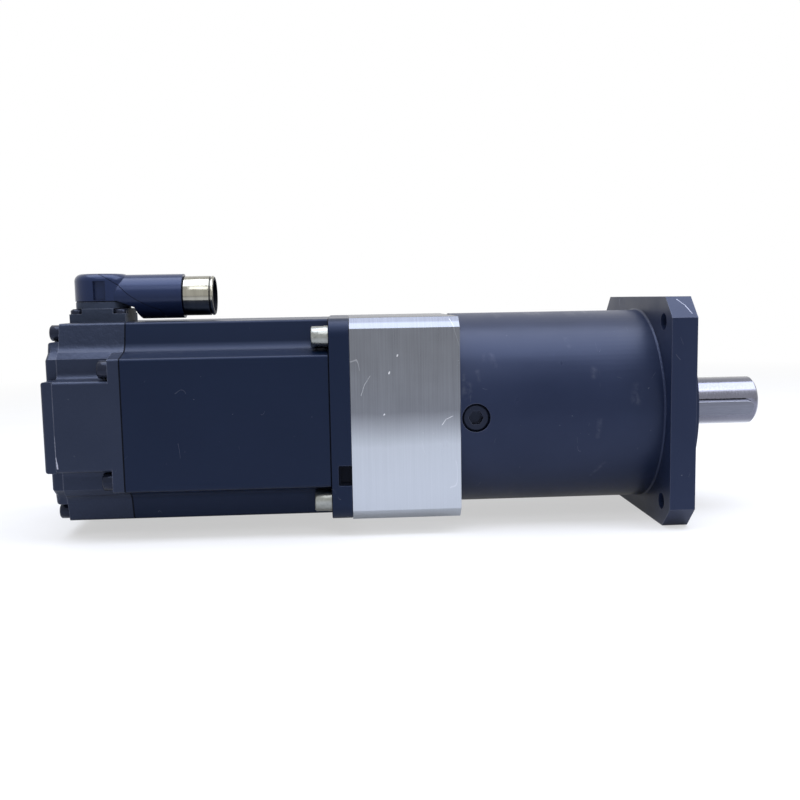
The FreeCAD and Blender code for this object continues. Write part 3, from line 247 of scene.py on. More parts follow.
def edgeMask(tree, radius):
    # how far the surface turns within a short distance: its edges
    soft = addNode(tree, "ShaderNodeBevel", samples=4)
    soft.inputs["Radius"].default_value = radius * mm
    plain = tree.nodes.new("ShaderNodeNewGeometry")
    facing = vectorCalc(tree, "DOT_PRODUCT", soft.outputs["Normal"], plain.outputs["Normal"])
    return spread(tree, facing.outputs["Value"], 1, 0, 0.80, 0.97)


def strongest(tree, masks):
    # the largest of several masks, each times its own weight
    whole = None
    for mask, weight in masks:
        one = calc(tree, "MULTIPLY", mask, weight)
        whole = calc(tree, "MAXIMUM", whole, one) if whole else one
    return whole


# ---- finishes

# Dark coats. colour and worn are mixed in clouds, rough is a range, grain is how fine the texture
# is and depth its height in mm, scratch and chip are their width, smears how far wiped places show,
# shine is the specular level, edges how light the corners are, partly worn paint and partly a
# painted highlight. joints are places along X in mm where dirt sits, dirt is how far in mm it
# reaches from an edge, ledges says how much rougher the stepped corners are. A mark or smudge is
# from, to, half width, in mm.
paints = {
    "case_paint": dict(colour=(0.0075, 0.012, 0.031), worn=(0.015, 0.021, 0.046),
                       rough=(0.29, 0.40), grain=1600, depth=0.004, scratch=0.0016, chip=0.04,
                       smears=0.5, shine=0.31,
                       marks=(((-45.7, -34, 30.8), (-45.2, -36, 28.2), 0.16),
                              ((-45.0, -36.5, 26.6), (-44.6, -37.5, 24.6), 0.2),
                              ((-38.3, -35, 27.6), (-37.9, -37, 25.6), 0.12),
                              ((-6.0, -38.1, 43.9), (-3.6, -40.3, 41.7), 0.13),
                              ((-3.6, -40.3, 41.7), (-1.9, -43.4, 38.6), 0.16)),
                       smudges=(((-88.5, -37.8, 11.5), (-88.2, -38.4, 9.3), 2.2),
                                ((-86.5, -37.4, 12.6), (-86.8, -38.4, 9.2), 1.6),
                                ((-83.0, -35.3, 17.7), (-82.7, -36.8, 14.4), 1.0),
                                ((-88.0, -36.0, 16.4), (-88.5, -36.7, 14.5), 0.8),
                                ((-77.0, -31.7, 23.6), (-76.1, -34.4, 19.5), 1.3),
                                ((-79.7, -31.7, 23.6), (-80.0, -33.2, 21.4), 0.8),
                                ((-21.1, -38.2, 10.0), (-21.4, -39.1, 5.4), 2.4),
                                ((-37.3, -35.4, 17.5), (-37.6, -36.6, 14.9), 1.4),
                                ((-46.2, -26.4, 29.3), (-45.7, -29.4, 26.3), 1.2),
                                ((-35.9, -39.5, -2.0), (-36.5, -38.6, -8.3), 1.2),
                                ((-37.3, -30.4, -25.2), (-32.7, -34.2, -19.8), 0.8))),
    "motor_paint": dict(colour=(0.0025, 0.0065, 0.020), worn=(0.004, 0.009, 0.025),
                        rough=(0.31, 0.39), grain=2600, depth=0.008, scratch=0.001, chip=0.03,
                        smears=0.1, shine=0.25, edges=0.34, joints=(-218, -140), marks=()),
    "cast_paint": dict(colour=(0.009, 0.013, 0.026), worn=(0.017, 0.022, 0.038), rough=(0.29, 0.42),
                       grain=800, depth=0.09, scratch=0.001, chip=0.035, smears=0.15,
                       shine=0.36, joints=(-218,), ledges=2.3, edges=0.32,
                       marks=(((-243, -38.6, -3), (-242.9, -38.6, -11), 0.03),
                              ((-242.9, -38.6, -11.2), (-242.7, -38.6, -13.2), 0.12),
                              ((-242.7, -38.6, -13.0), (-242.5, -38.6, -15.4), 0.25),
                              ((-227.0, -38.4, -25.0), (-225.6, -38.2, -25.2), 0.22))),
    "black_screws": dict(colour=(0.005, 0.007, 0.014), worn=(0.02, 0.022, 0.032),
                         rough=(0.15, 0.24), grain=3000, depth=0.006, scratch=0.002, chip=0.04,
                         smears=0.2, shine=0.24, marks=()),
    "connector_shell": dict(colour=(0.009, 0.016, 0.048), worn=(0.012, 0.020, 0.056),
                            rough=(0.21, 0.25), grain=3500, depth=0.002, scratch=0.0012, chip=0.03,
                            smears=0.05, shine=0.36, edges=0.06, dirt=0.35, marks=()),
}

# the socket's base is duller and paler than the castings
paints["base_paint"] = {**paints["cast_paint"], "colour": (0.040, 0.050, 0.076),
                        "worn": (0.052, 0.064, 0.092), "shine": 0.05, "rough": (0.40, 0.52)}

# painted shade in the gap along the key's upper side and round its end: from, to, half width
paintedKeyShade = (((9.5, -9.91, 1.35), (34.5, -9.91, 1.35), 0.42),
           ((34.5, -9.91, 1.35), (36.6, -9.99, 0.37), 0.36),
           ((36.6, -9.99, 0.37), (37.5, -9.88, -1.54), 0.28),
           ((37.5, -9.88, -1.54), (36.8, -9.34, -3.58), 0.2),
           ((36.8, -9.34, -3.58), (34.5, -8.85, -4.66), 0.16))

# Bare metals. brush is how fine the brushing is and draw how it's drawn out, rim how bright the
# corners are, a painted highlight, and the gap strokes are painted shade. The tone by height gives
# the heights in mm between which the tone goes from one value to the other, a painted reflection,
# and the heights near the top where some of it is taken away, a painted shade.
metals = {
    "ground_steel": dict(dark=(0.13, 0.132, 0.165), light=(0.23, 0.235, 0.29), rough=(0.10, 0.16),
                         brush=2600, draw=(1, 0.4, 0.4), depth=0, scratch=0.001, marks=(),
                         paintedShadeStrokes=paintedKeyShade),
    "key_steel": dict(dark=(0.12, 0.125, 0.155), light=(0.20, 0.21, 0.25), rough=(0.24, 0.34),
                      brush=1800, draw=(0.1, 1, 1), depth=0.0006, scratch=0.002, marks=(),
                      paintedShadeStrokes=paintedKeyShade, rim=0.9),
    "gear_steel": dict(dark=(0.32, 0.33, 0.35), light=(0.48, 0.49, 0.52), rough=(0.25, 0.40),
                       brush=900, draw=(0.1, 1, 1), depth=0.006, scratch=0.002, marks=()),
    "bearing_steel": dict(dark=(0.50, 0.51, 0.53), light=(0.66, 0.67, 0.70), rough=(0.10, 0.20),
                          brush=1500, draw=(1, 0.1, 0.1), depth=0.002, scratch=0.001, marks=()),
    "milled_aluminium": dict(dark=(0.08, 0.084, 0.102), light=(0.51, 0.545, 0.60),
                             rough=(0.24, 0.34), brush=2600, draw=(1, 0.012, 0.012), depth=0.003,
                             scratch=0.002,
                             # painted reflection by height, and painted shade near the top
                             wipedAndPaintedReflection=dict(heights=(-7, 6), paintedReflectionTones=(0.73, 0.145), brushed=0.20,
                                        crownShadeAt=(36.8, 37.4), crownShade=0.13),
                             marks=(((-97.2, -39, -2.4), (-95.7, -39, -0.3), 0.10),
                                    ((-95.7, -39, -0.3), (-93, -39, 1), 0.08),
                                    ((-128, -39, 9.5), (-126.6, -39, 13.7), 0.05),
                                    ((-126.6, -39, 13.7), (-124.4, -39, 17), 0.045),
                                    ((-117.2, -39, 17.8), (-117, -39, 18.4), 0.25),
                                    ((-114, -39, 24.4), (-113.8, -39, 24.8), 0.22),
                                    ((-119.4, -39, 2), (-119.2, -39, 2.3), 0.22))),
    "zinc_screws": dict(dark=(0.20, 0.21, 0.20), light=(0.42, 0.43, 0.40), rough=(0.22, 0.36),
                        brush=800, draw=(1, 1, 1), depth=0.004, scratch=0.003, marks=()),
    "bronze": dict(dark=(0.42, 0.25, 0.10), light=(0.62, 0.40, 0.18), rough=(0.25, 0.40),
                   brush=900, draw=(1, 0.1, 0.1), depth=0.004, scratch=0.002, marks=()),
    "copper": dict(dark=(0.38, 0.13, 0.05), light=(0.68, 0.30, 0.14), rough=(0.25, 0.45),
                   brush=700, draw=(0.1, 1, 1), depth=0.05, scratch=0, marks=()),
    "lamination": dict(dark=(0.20, 0.20, 0.22), light=(0.36, 0.36, 0.39), rough=(0.35, 0.55),
                       brush=1400, draw=(1, 0.02, 0.02), depth=0.02, scratch=0, marks=()),
    "magnet": dict(dark=(0.20, 0.20, 0.22), light=(0.34, 0.34, 0.36), rough=(0.35, 0.55),
                   brush=800, draw=(1, 1, 1), depth=0.01, scratch=0.002, marks=()),
    "connector_chrome": dict(dark=(0.27, 0.26, 0.22), light=(0.44, 0.43, 0.37), rough=(0.08, 0.16),
                             brush=900, draw=(1, 0.1, 0.1), depth=0.0008, scratch=0.002, marks=(),
                             joints=(-187.95, -198.9)),
    "contact_gold": dict(dark=(0.70, 0.46, 0.16), light=(0.86, 0.64, 0.28), rough=(0.15, 0.28),
                         brush=900, draw=(0.1, 1, 1), depth=0.002, scratch=0.001, marks=()),
}

# Unpainted plastics, rubber and board.
plains = {
    "seal_rubber": dict(colour=(0.012, 0.012, 0.013), worn=(0.022, 0.022, 0.024),
                        rough=(0.55, 0.75), grain=1200, depth=0.02),
    "board": dict(colour=(0.02, 0.12, 0.06), worn=(0.03, 0.17, 0.09), rough=(0.30, 0.45),
                  grain=700, depth=0.01),
    "disc": dict(colour=(0.05, 0.05, 0.06), worn=(0.08, 0.08, 0.09), rough=(0.12, 0.22),
                 grain=900, depth=0.002),
    # also colours the block of painted shade in the flange's notch
    "insert_plastic": dict(colour=(0.0015, 0.0024, 0.006), worn=(0.003, 0.0045, 0.010),
                           rough=(0.32, 0.46), grain=1500, depth=0.01, shine=0.05),
}


# how light each sign of wear is, and its colour; the same colour paints the highlight on corners
# and on the key's rim
paintWearAndHighlight = dict(scratch=0.10, chip=0.3, edge=0.2, mark=0.9, smudge=0.05,
                 colour=(0.42, 0.43, 0.50))
metalWearAndHighlight = dict(scratch=0.2, mark=0.75, colour=(0.80, 0.81, 0.86))
# scratches: scale, stretch, turn, scale of their patches, how rare these are
paintScratches = ((80, (1, 0.3, 0.3), (0.4, 0.9, 0.2), 110, 0.66),
                  (120, (0.4, 1, 0.5), (1.1, 0.2, 0.7), 130, 0.67))
metalScratches = (70, (1, 0.3, 0.3), (0.7, 0.3, 1.1), 60, 0.57)
# dirt in the joints: half width in mm on paint and on metal, how much of it covers, its shine
dirt = dict(reach=0.28, metalReach=0.32, share=0.85, shine=0.02, colour=(0.001, 0.0012, 0.002))
gapShade = dict(share=0.9, colour=(0.01, 0.01, 0.014))
jointShade = (0.01, 0.01, 0.012)
ledge = dict(between=(29, 32), flat=0.6)  # mm off the middle, and how rough the flat panels are
coolGloss = (0.56, 0.66, 1.0)


def paintedMetal(name, look):
    material, tree, shader = blank(name)
    shader.inputs["Specular IOR Level"].default_value = look["shine"]
    shader.inputs["Specular Tint"].default_value = (*coolGloss, 1)
    cloud = noise(tree, scales["cloud"], 4)
    wipes = noise(tree, scales["wipes"], 3, (1, 0.3, 0.22))
    smear = calc(tree, "MULTIPLY", spread(tree, wipes, 0, 1, 0.58, 0.64),
                 spread(tree, noise(tree, scales["wipedAndPaintedReflection"], 2), 0, look["smears"], 0.48, 0.60))
    base = tint(tree, calc(tree, "MAXIMUM", spread(tree, cloud, 0, 0.6), smear), look["colour"],
                look["worn"])
    scratch = calc(tree, "MAXIMUM", *(hairlines(tree, look["scratch"], *one)
                                      for one in paintScratches))
    # corners lighter: worn paint, and partly a painted highlight
    edge = calc(tree, "MULTIPLY", edgeMask(tree, 0.5),
                spread(tree, noise(tree, scales["edgeWear"], 4), 0.35, 0.95))
    light = [(scratch, paintWearAndHighlight["scratch"]), (edge, look.get("edges", paintWearAndHighlight["edge"])),
             (specks(tree, scales["chips"], look["chip"], 0.6), paintWearAndHighlight["chip"])]
    if look["marks"]:
        light.append((strokes(tree, look["marks"]), paintWearAndHighlight["mark"]))
    if look.get("smudges"):
        light.append((strokes(tree, look["smudges"], True), paintWearAndHighlight["smudge"]))
    coat = tint(tree, strongest(tree, light), base, paintWearAndHighlight["colour"])
    grime = None
    if look.get("joints"):
        grime = seams(tree, look["joints"], dirt["reach"])
    if look.get("dirt"):
        grime = calc(tree, "MULTIPLY", edgeMask(tree, look["dirt"]), dirt["share"])
    if grime:
        # dirt in a joint neither colours nor shines
        coat = tint(tree, grime, coat, dirt["colour"])
        tree.links.new(spread(tree, grime, look["shine"], dirt["shine"], 0, dirt["share"]),
                       shader.inputs["Specular IOR Level"])
    tree.links.new(coat, shader.inputs["Base Color"])
    rough = spread(tree, noise(tree, scales["gloss"], 5), *look["rough"])
    polished = calc(tree, "MAXIMUM", smear, edge)
    tree.links.new(calc(tree, "SUBTRACT", rough, calc(tree, "MULTIPLY", polished, 0.1)),
                   shader.inputs["Roughness"])
    grain = noise(tree, look["grain"], 4)
    lumps = noise(tree, look["grain"] / 2.2, 2)
    if look.get("ledges"):
        # the casting is rougher in its stepped corners than on its flat panels
        side = calc(tree, "ABSOLUTE", alongAxis(tree, "Y"))
        low, high = (value * mm for value in ledge["between"])
        lumps = calc(tree, "MULTIPLY", lumps,
                     spread(tree, side, look["ledges"], ledge["flat"], low, high))
    relief(tree, shader, ((grain, look["depth"] * mm), (lumps, look["depth"] * mm),
                          (calc(tree, "SUBTRACT", 1, scratch), 0.004 * mm)))
    return material


def bareMetal(name, look):
    material, tree, shader = blank(name)
    shader.inputs["Metallic"].default_value = 1
    brush = noise(tree, look["brush"], 3, look["draw"])
    cloud = noise(tree, scales["metalCloud"], 4)
    tone = calc(tree, "ADD", spread(tree, brush, 0, 0.35), spread(tree, cloud, 0, 0.3))
    if look.get("wipedAndPaintedReflection"):
        # painted reflection: darker above and lighter below, going by height
        wipedAndPaintedReflection = look["wipedAndPaintedReflection"]
        height = alongAxis(tree, "Z")
        uneven = calc(tree, "ADD", height, calc(tree, "MULTIPLY", cloud, 0.006))
        low, high = (value * mm for value in wipedAndPaintedReflection["heights"])
        tone = calc(tree, "ADD", calc(tree, "MULTIPLY", tone, wipedAndPaintedReflection["brushed"]),
                    spread(tree, uneven, *wipedAndPaintedReflection["paintedReflectionTones"], low, high))
        # painted shade on the top rim, taking off the lamp's highlight
        low, high = (value * mm for value in wipedAndPaintedReflection["crownShadeAt"])
        tone = calc(tree, "SUBTRACT", tone, spread(tree, height, 0, wipedAndPaintedReflection["crownShade"], low, high))
    base = tint(tree, tone, look["dark"], look["light"])
    scratch = calc(tree, "MAXIMUM", hairlines(tree, look["scratch"], *metalScratches),
                   specks(tree, scales["metalChips"], 0.05))
    light = [(scratch, metalWearAndHighlight["scratch"])]
    if look["marks"]:
        light.append((strokes(tree, look["marks"]), metalWearAndHighlight["mark"]))
    # painted highlight along the key's edges
    if look.get("rim"):
        light.append((edgeMask(tree, 0.4), look["rim"]))
    coat = tint(tree, strongest(tree, light), base, metalWearAndHighlight["colour"])
    # painted shade in the gap beside the key
    if look.get("paintedShadeStrokes"):
        shade = calc(tree, "MULTIPLY", strokes(tree, look["paintedShadeStrokes"]), gapShade["share"])
        coat = tint(tree, shade, coat, gapShade["colour"])
    if look.get("joints"):
        coat = tint(tree, seams(tree, look["joints"], dirt["metalReach"]), coat, jointShade)
    tree.links.new(coat, shader.inputs["Base Color"])
    rough = calc(tree, "ADD", spread(tree, brush, 0, 0.06), spread(tree, cloud, *look["rough"]))
    tree.links.new(rough, shader.inputs["Roughness"])
    relief(tree, shader, ((brush, look["depth"] * mm), (scratch, 0.006 * mm)))
    return material


def plainSolid(name, look):
    material, tree, shader = blank(name)
    shader.inputs["Specular IOR Level"].default_value = look.get("shine", 0.3)
    uneven = spread(tree, noise(tree, scales["plainCloud"], 4), 0, 1)
    tree.links.new(tint(tree, uneven, look["colour"], look["worn"]), shader.inputs["Base Color"])
    gloss = noise(tree, scales["plainGloss"], 3)
    tree.links.new(spread(tree, gloss, *look["rough"]), shader.inputs["Roughness"])
    relief(tree, shader, ((noise(tree, look["grain"], 3), look["depth"] * mm),))
    return material


materials = {}
for looks, maker in ((paints, paintedMetal), (metals, bareMetal), (plains, plainSolid)):
    for slotName, slotLook in looks.items():
        materials[slotName] = maker(slotName, slotLook)
slotOf = {part["node"]: part["material_slot"] for part in frame["record"]["subparts"]}
for nodeName, node in nodes.items():
    node.data.materials.clear()
    node.data.materials.append(materials[slotOf[nodeName]])
print("finishes made:", len(materials))


# ---- outer pieces with rounded edges

weldWithin = 1e-7  # m
turns = dict(flat=0.3, rounded=32, dressed=40, small=28, screws=50)  # degrees between faces
edgeWidths = {  # node: rounding of its sharp edges in millimetres
    "gear_housing": 0.5, "output_shaft": 0.2, "output_key": 0.35, "clamp_access_plug": 0.15,
    "adapter_block": 0.3, "motor_front_flange": 0.6, "motor_housing": 0.25, "rear_end_shield": 0.3,
    "rear_cover": 0.3, "connector_base": 0.35, "connector_body": 0.12, "connector_cap": 0.15,
    "coupling_sleeve": 0.1, "connector_insert": 0.1, "output_shaft_seal": 0.1,
}


def shadeByAngle(mesh, degrees):
    mesh.polygons.foreach_set("use_smooth", [True] * len(mesh.polygons))
    mesh.set_sharp_from_angle(angle=math.radians(degrees))


def asMesh(piece):
    # swaps an object's modifiers for their result
    graph = bpy.context.evaluated_depsgraph_get()
    made = bpy.data.meshes.new_from_object(piece.evaluated_get(graph), depsgraph=graph)
    piece.modifiers.clear()
    piece.data = made


def keepPiece(piece, body, slotName, *stoodFor):
    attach(piece, body)
    if stoodFor:
        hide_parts(*stoodFor)


dressed = {}
notch = dict(inset=27.82, reach=2.97, found=0.05, shortest=0.5, segments=8)


def fillNotches(shape):
    # carries the housing's hollow rounding on along the four inner corners
    def inCorner(vert):
        return all(abs(abs(value) - notch["inset"] * mm) < notch["found"] * mm
                   for value in vert.co.yz)
    chosen = [edge for edge in shape.edges if all(inCorner(vert) for vert in edge.verts)
              and edge.calc_length() > notch["shortest"] * mm]
    bmesh.ops.bevel(shape, geom=chosen, offset=notch["reach"] * mm, segments=notch["segments"],
                    profile=0.5, affect="EDGES")


ownFinish = {"output_key": "key_steel", "connector_base": "base_paint"}


def roundedCopy(nodeName, width):
    source = nodes[nodeName]
    mesh = source.data.copy()
    shape = bmesh.new()
    shape.from_mesh(mesh)
    bmesh.ops.remove_doubles(shape, verts=shape.verts, dist=weldWithin)
    bmesh.ops.dissolve_limit(shape, angle_limit=math.radians(turns["flat"]), verts=shape.verts,
                             edges=shape.edges)
    if nodeName == "rear_cover":
        fillNotches(shape)
    shape.to_mesh(mesh)
    shape.free()
    piece = bpy.data.objects.new(f"{nodeName}_dressed", mesh)
    bpy.context.collection.objects.link(piece)
    bevel = piece.modifiers.new("edges", "BEVEL")
    bevel.width = width * mm
    bevel.segments = 2
    bevel.limit_method = "ANGLE"
    bevel.angle_limit = math.radians(turns["rounded"])
    bevel.use_clamp_overlap = True
    bevel.miter_outer = "MITER_ARC"
    asMesh(piece)
    shadeByAngle(piece.data, turns["dressed"])
    if slotOf[nodeName] in paints:
        # large faces lead the shading, so that flats and rounds run clean up to their edges
        piece.modifiers.new("shading", "WEIGHTED_NORMAL").keep_sharp = True
        asMesh(piece)
    if nodeName in ownFinish:
        piece.data.materials[0] = materials[ownFinish[nodeName]]
    keepPiece(piece, source["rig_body"], slotOf[nodeName], nodeName)
    return piece


for nodeName, width in edgeWidths.items():
    dressed[nodeName] = roundedCopy(nodeName, width)
print("outer pieces rounded:", len(edgeWidths))


# ---- small pieces that only show from outside

barrel = dict(across=0, up=48.6, lining=7.5)
swivelSeal = dict(along=-232, bottom=46.7, top=47, outer=10.55, inner=9.6, edge=0.1)
# painted shade in the flange's notch: a dark block set into it
notchShadeBlock = dict(rear=-137.0, front=-132.05, face=-38.4, back=-36.1, top=-17.5, bottom=-24.9,
                  rim=0.7, lip=0.3, sunk=1.1, shortest=0.5, rounding=0.12)


def darkLining(piece):
    # the sleeve's bore is lined with the insert's dark plastic
    piece.data.materials.append(materials["insert_plastic"])
    for face in piece.data.polygons:
        centre = face.center / mm
        away = math.hypot(centre.y - barrel["across"], centre.z - barrel["up"])
        face.material_index = 1 if away < barrel["lining"] else 0


def newPiece(name, shape, body, slotName):
    bmesh.ops.remove_doubles(shape, verts=shape.verts, dist=weldWithin)
    bmesh.ops.recalc_face_normals(shape, faces=shape.faces)
    mesh = bpy.data.meshes.new(name)
    shape.to_mesh(mesh)
    shape.free()
    mesh.materials.append(materials[slotName])
    shadeByAngle(mesh, turns["small"])
    piece = bpy.data.objects.new(name, mesh)
    bpy.context.collection.objects.link(piece)
    keepPiece(piece, body, slotName)


def turned(profile, centre, steps=72):
    # a closed ring about the upright axis from its section of (radius, height) corners
    shape = bmesh.new()
    rings = []
    for step in range(steps):
        angle = 2 * math.pi * step / steps
        rings.append([shape.verts.new(((centre[0] + radius * math.cos(angle)) * mm,
                                       (centre[1] + radius * math.sin(angle)) * mm, height * mm))
                      for radius, height in profile])
    for step in range(steps):
        here, there = rings[step], rings[(step + 1) % steps]
        for corner in range(len(profile)):
            follow = (corner + 1) % len(profile)
            shape.faces.new((here[corner], here[follow], there[follow], there[corner]))
    return shape


def makeSwivelSeal():
    s = swivelSeal
    middle = (s["bottom"] + s["top"]) / 2
    brim = s["outer"] - s["edge"]
    section = [(s["inner"], s["bottom"]), (brim, s["bottom"]), (s["outer"], middle),
               (brim, s["top"]), (s["inner"], s["top"])]
    newPiece("swivel_seal", turned(section, (s["along"], 0)), "housing", "seal_rubber")


def makeNotchShade():
    # black block with a sunk face, open towards the adapter: painted shade in the flange's notch
    n = notchShadeBlock
    shape = bmesh.new()
    deep = n["face"] + n["sunk"]
    outline = [(n["rear"], n["bottom"]), (n["front"], n["bottom"]), (n["front"], n["top"]),
               (n["rear"], n["top"])]
    rear, front = n["rear"] + n["rim"], n["front"] - n["lip"]
    bottom, top = n["bottom"] + n["rim"], n["top"] - n["rim"]
    inside = [(rear, bottom), (front, bottom), (front, top), (rear, top)]
    loops = []
    for corners, depth in ((outline, n["back"]), (outline, n["face"]), (inside, n["face"]),
                           (inside, deep)):
        loops.append([shape.verts.new((x * mm, depth * mm, z * mm)) for x, z in corners])
    for first, second in zip(loops, loops[1:]):
        for corner in range(4):
            follow = (corner + 1) % 4
            shape.faces.new((first[corner], first[follow], second[follow], second[corner]))
    shape.faces.new(loops[0])
    shape.faces.new(loops[-1])
    chosen = [edge for edge in shape.edges if edge.calc_length() > n["shortest"] * mm]
    bmesh.ops.bevel(shape, geom=chosen, offset=n["rounding"] * mm, segments=2, affect="EDGES")
    newPiece("flange_notch_shade", shape, "housing", "insert_plastic")


darkLining(dressed["coupling_sleeve"])
makeSwivelSeal()
makeNotchShade()
print("small pieces made")


# ---- screws, by geometry nodes

def geometryTree(name, labels):
    tree = bpy.data.node_groups.new(name, "GeometryNodeTree")
    tree.interface.new_socket("Points", in_out="INPUT", socket_type="NodeSocketGeometry")
    for label in labels:
        tree.interface.new_socket(label, in_out="INPUT", socket_type="NodeSocketFloat")
    tree.interface.new_socket("Geometry", in_out="OUTPUT", socket_type="NodeSocketGeometry")
    return tree, tree.nodes.new("NodeGroupInput"), tree.nodes.new("NodeGroupOutput")


def feed(tree, node, **sources):
    for key, source in sources.items():
        plug(tree, node.inputs[key.replace("_", " ")], source)


def lifted(tree, geometry, height):
    shift = tree.nodes.new("ShaderNodeCombineXYZ")
    feed(tree, shift, Z=height)
    moved = tree.nodes.new("GeometryNodeTransform")
    feed(tree, moved, Geometry=geometry, Translation=shift.outputs[0])
    return moved.outputs[0]


around = 48  # sides of a screw's head


def screwTree(material):
    # a socket head cap screw on its washer, standing on each point and turned to one side
    tree, given, made = geometryTree("socketScrews", (
        "Head radius", "Head height", "Edge", "Socket radius", "Socket depth",
        "Washer radius", "Washer thickness", "Facing"))
    head = given.outputs
    parts = []
    wall = addNode(tree, "GeometryNodeMeshCylinder", fill_type="NONE")
    straight = calc(tree, "SUBTRACT", head["Head height"], head["Edge"])
    feed(tree, wall, Vertices=around, Radius=head["Head radius"], Depth=straight)
    foot = calc(tree, "ADD", calc(tree, "MULTIPLY", straight, 0.5), head["Washer thickness"])
    parts.append(lifted(tree, wall.outputs["Mesh"], foot))
    shoulder = addNode(tree, "GeometryNodeMeshCone", fill_type="NONE")
    brim = calc(tree, "SUBTRACT", head["Head radius"], head["Edge"])
    feed(tree, shoulder, Vertices=around, Radius_Top=brim, Radius_Bottom=head["Head radius"],
         Depth=head["Edge"])
    parts.append(lifted(tree, shoulder.outputs["Mesh"],
                        calc(tree, "ADD", straight, head["Washer thickness"])))
    rim = addNode(tree, "GeometryNodeCurvePrimitiveCircle")
    feed(tree, rim, Resolution=around, Radius=brim)
    mouth = addNode(tree, "GeometryNodeCurvePrimitiveCircle")
    feed(tree, mouth, Resolution=6, Radius=head["Socket radius"])
    loops = tree.nodes.new("GeometryNodeJoinGeometry")
    tree.links.new(rim.outputs["Curve"], loops.inputs[0])
    tree.links.new(mouth.outputs["Curve"], loops.inputs[0])
    face = tree.nodes.new("GeometryNodeFillCurve")
    feed(tree, face, Curve=loops.outputs[0])
    top = calc(tree, "ADD", head["Head height"], head["Washer thickness"])
    parts.append(lifted(tree, face.outputs[0], top))
    socket = addNode(tree, "GeometryNodeMeshCylinder", fill_type="NONE")
    feed(tree, socket, Vertices=6, Radius=head["Socket radius"], Depth=head["Socket depth"])
    half = calc(tree, "MULTIPLY", head["Socket depth"], 0.5)
    parts.append(lifted(tree, socket.outputs["Mesh"], calc(tree, "SUBTRACT", top, half)))
    floor = addNode(tree, "GeometryNodeMeshCircle", fill_type="NGON")
    feed(tree, floor, Vertices=6, Radius=head["Socket radius"])
    parts.append(lifted(tree, floor.outputs[0], calc(tree, "SUBTRACT", top, head["Socket depth"])))
    seat = addNode(tree, "GeometryNodeMeshCircle", fill_type="NGON")
    feed(tree, seat, Vertices=around, Radius=head["Head radius"])
    parts.append(lifted(tree, seat.outputs[0], head["Washer thickness"]))
    washer = tree.nodes.new("GeometryNodeMeshCylinder")
    feed(tree, washer, Vertices=around, Radius=head["Washer radius"],
         Depth=head["Washer thickness"])
    parts.append(lifted(tree, washer.outputs["Mesh"],
                        calc(tree, "MULTIPLY", head["Washer thickness"], 0.5)))
    whole = tree.nodes.new("GeometryNodeJoinGeometry")
    for part in parts:
        tree.links.new(part, whole.inputs[0])
    turn = tree.nodes.new("ShaderNodeCombineXYZ")
    feed(tree, turn, Y=head["Facing"])
    spots = tree.nodes.new("GeometryNodeInstanceOnPoints")
    feed(tree, spots, Points=head["Points"], Instance=whole.outputs[0], Rotation=turn.outputs[0])
    real = tree.nodes.new("GeometryNodeRealizeInstances")
    feed(tree, real, Geometry=spots.outputs[0])
    coat = tree.nodes.new("GeometryNodeSetMaterial")
    feed(tree, coat, Geometry=real.outputs[0])
    coat.inputs["Material"].default_value = material
    tree.links.new(coat.outputs[0], made.inputs[0])
    return tree


def setInput(modifier, label, value):
    socket = next(item for item in modifier.node_group.interface.items_tree
                  if item.name == label and item.in_out == "INPUT")
    modifier[socket.identifier] = value


def repeated(name, tree, points, inputs):
    mesh = bpy.data.meshes.new(name)
    mesh.from_pydata(points, [], [])
    piece = bpy.data.objects.new(name, mesh)
    bpy.context.collection.objects.link(piece)
    modifier = piece.modifiers.new("repeat", "NODES")
    modifier.node_group = tree
    for label, value in inputs.items():
        setInput(modifier, label, value)
    asMesh(piece)
    shape = bmesh.new()
    shape.from_mesh(piece.data)
    bmesh.ops.remove_doubles(shape, verts=shape.verts, dist=weldWithin)
    bmesh.ops.recalc_face_normals(shape, faces=shape.faces)
    shape.to_mesh(piece.data)
    shape.free()
    shadeByAngle(piece.data, turns["screws"])
    return piece


# node: slot, head diameter and height, socket across its corners and depth, washer diameter and
# thickness
screwSets = {
    "motor_flange_screws": ("zinc_screws", 8.5, 5, 4.6, 2.5, 8.8, 1.6),
    "rear_shield_screws": ("black_screws", 7, 4, 3.45, 2, 0, 0),
    "rear_tie_screws": ("black_screws", 6.2, 4, 2.9, 2, 0, 0),
    "connector_base_screws": ("black_screws", 4.6, 1.8, 2.3, 1, 0, 0),
}
headEdge = 0.5
trees = {name: screwTree(materials[name]) for name in ("zinc_screws", "black_screws")}
for nodeName, (slotName, headDia, height, socketDia, depth, washerDia, thick) in screwSets.items():
    low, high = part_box(nodeName)
    widest = max(headDia, washerDia) * mm / 2
    upright = nodeName == "connector_base_screws"
    if upright:
        seat = high.z - height * mm
        spots = [(x, y, seat) for x in (low.x + widest, high.x - widest)
                 for y in (low.y + widest, high.y - widest)]
    else:
        seat = low.x + (height + thick) * mm
        spots = [(seat, y, z) for y in (low.y + widest, high.y - widest)
                 for z in (low.z + widest, high.z - widest)]
    sizes = {"Head radius": headDia * mm / 2, "Head height": height * mm, "Edge": headEdge * mm,
             "Socket radius": socketDia * mm / 2, "Socket depth": depth * mm,
             "Washer radius": washerDia * mm / 2, "Washer thickness": thick * mm,
             "Facing": 0.0 if upright else -math.pi / 2}
    heads = repeated(f"{nodeName}_heads", trees[slotName], spots, sizes)
    keepPiece(heads, "housing", slotName, nodeName)
print("screw sets made:", len(screwSets))


# ---- floor, backdrop, light and camera

# floorDrop in mm, the rest in m: the floor's own white grows from nearGlow to 1 between the two
# fade distances, metal mirrors a part of it, and ambient is the world's light on the object
stage = dict(floorDrop=0.3, reach=6.0, nearGlow=0.55, fade=(0.25, 0.9), mirrored=0.45, ambient=0.26)


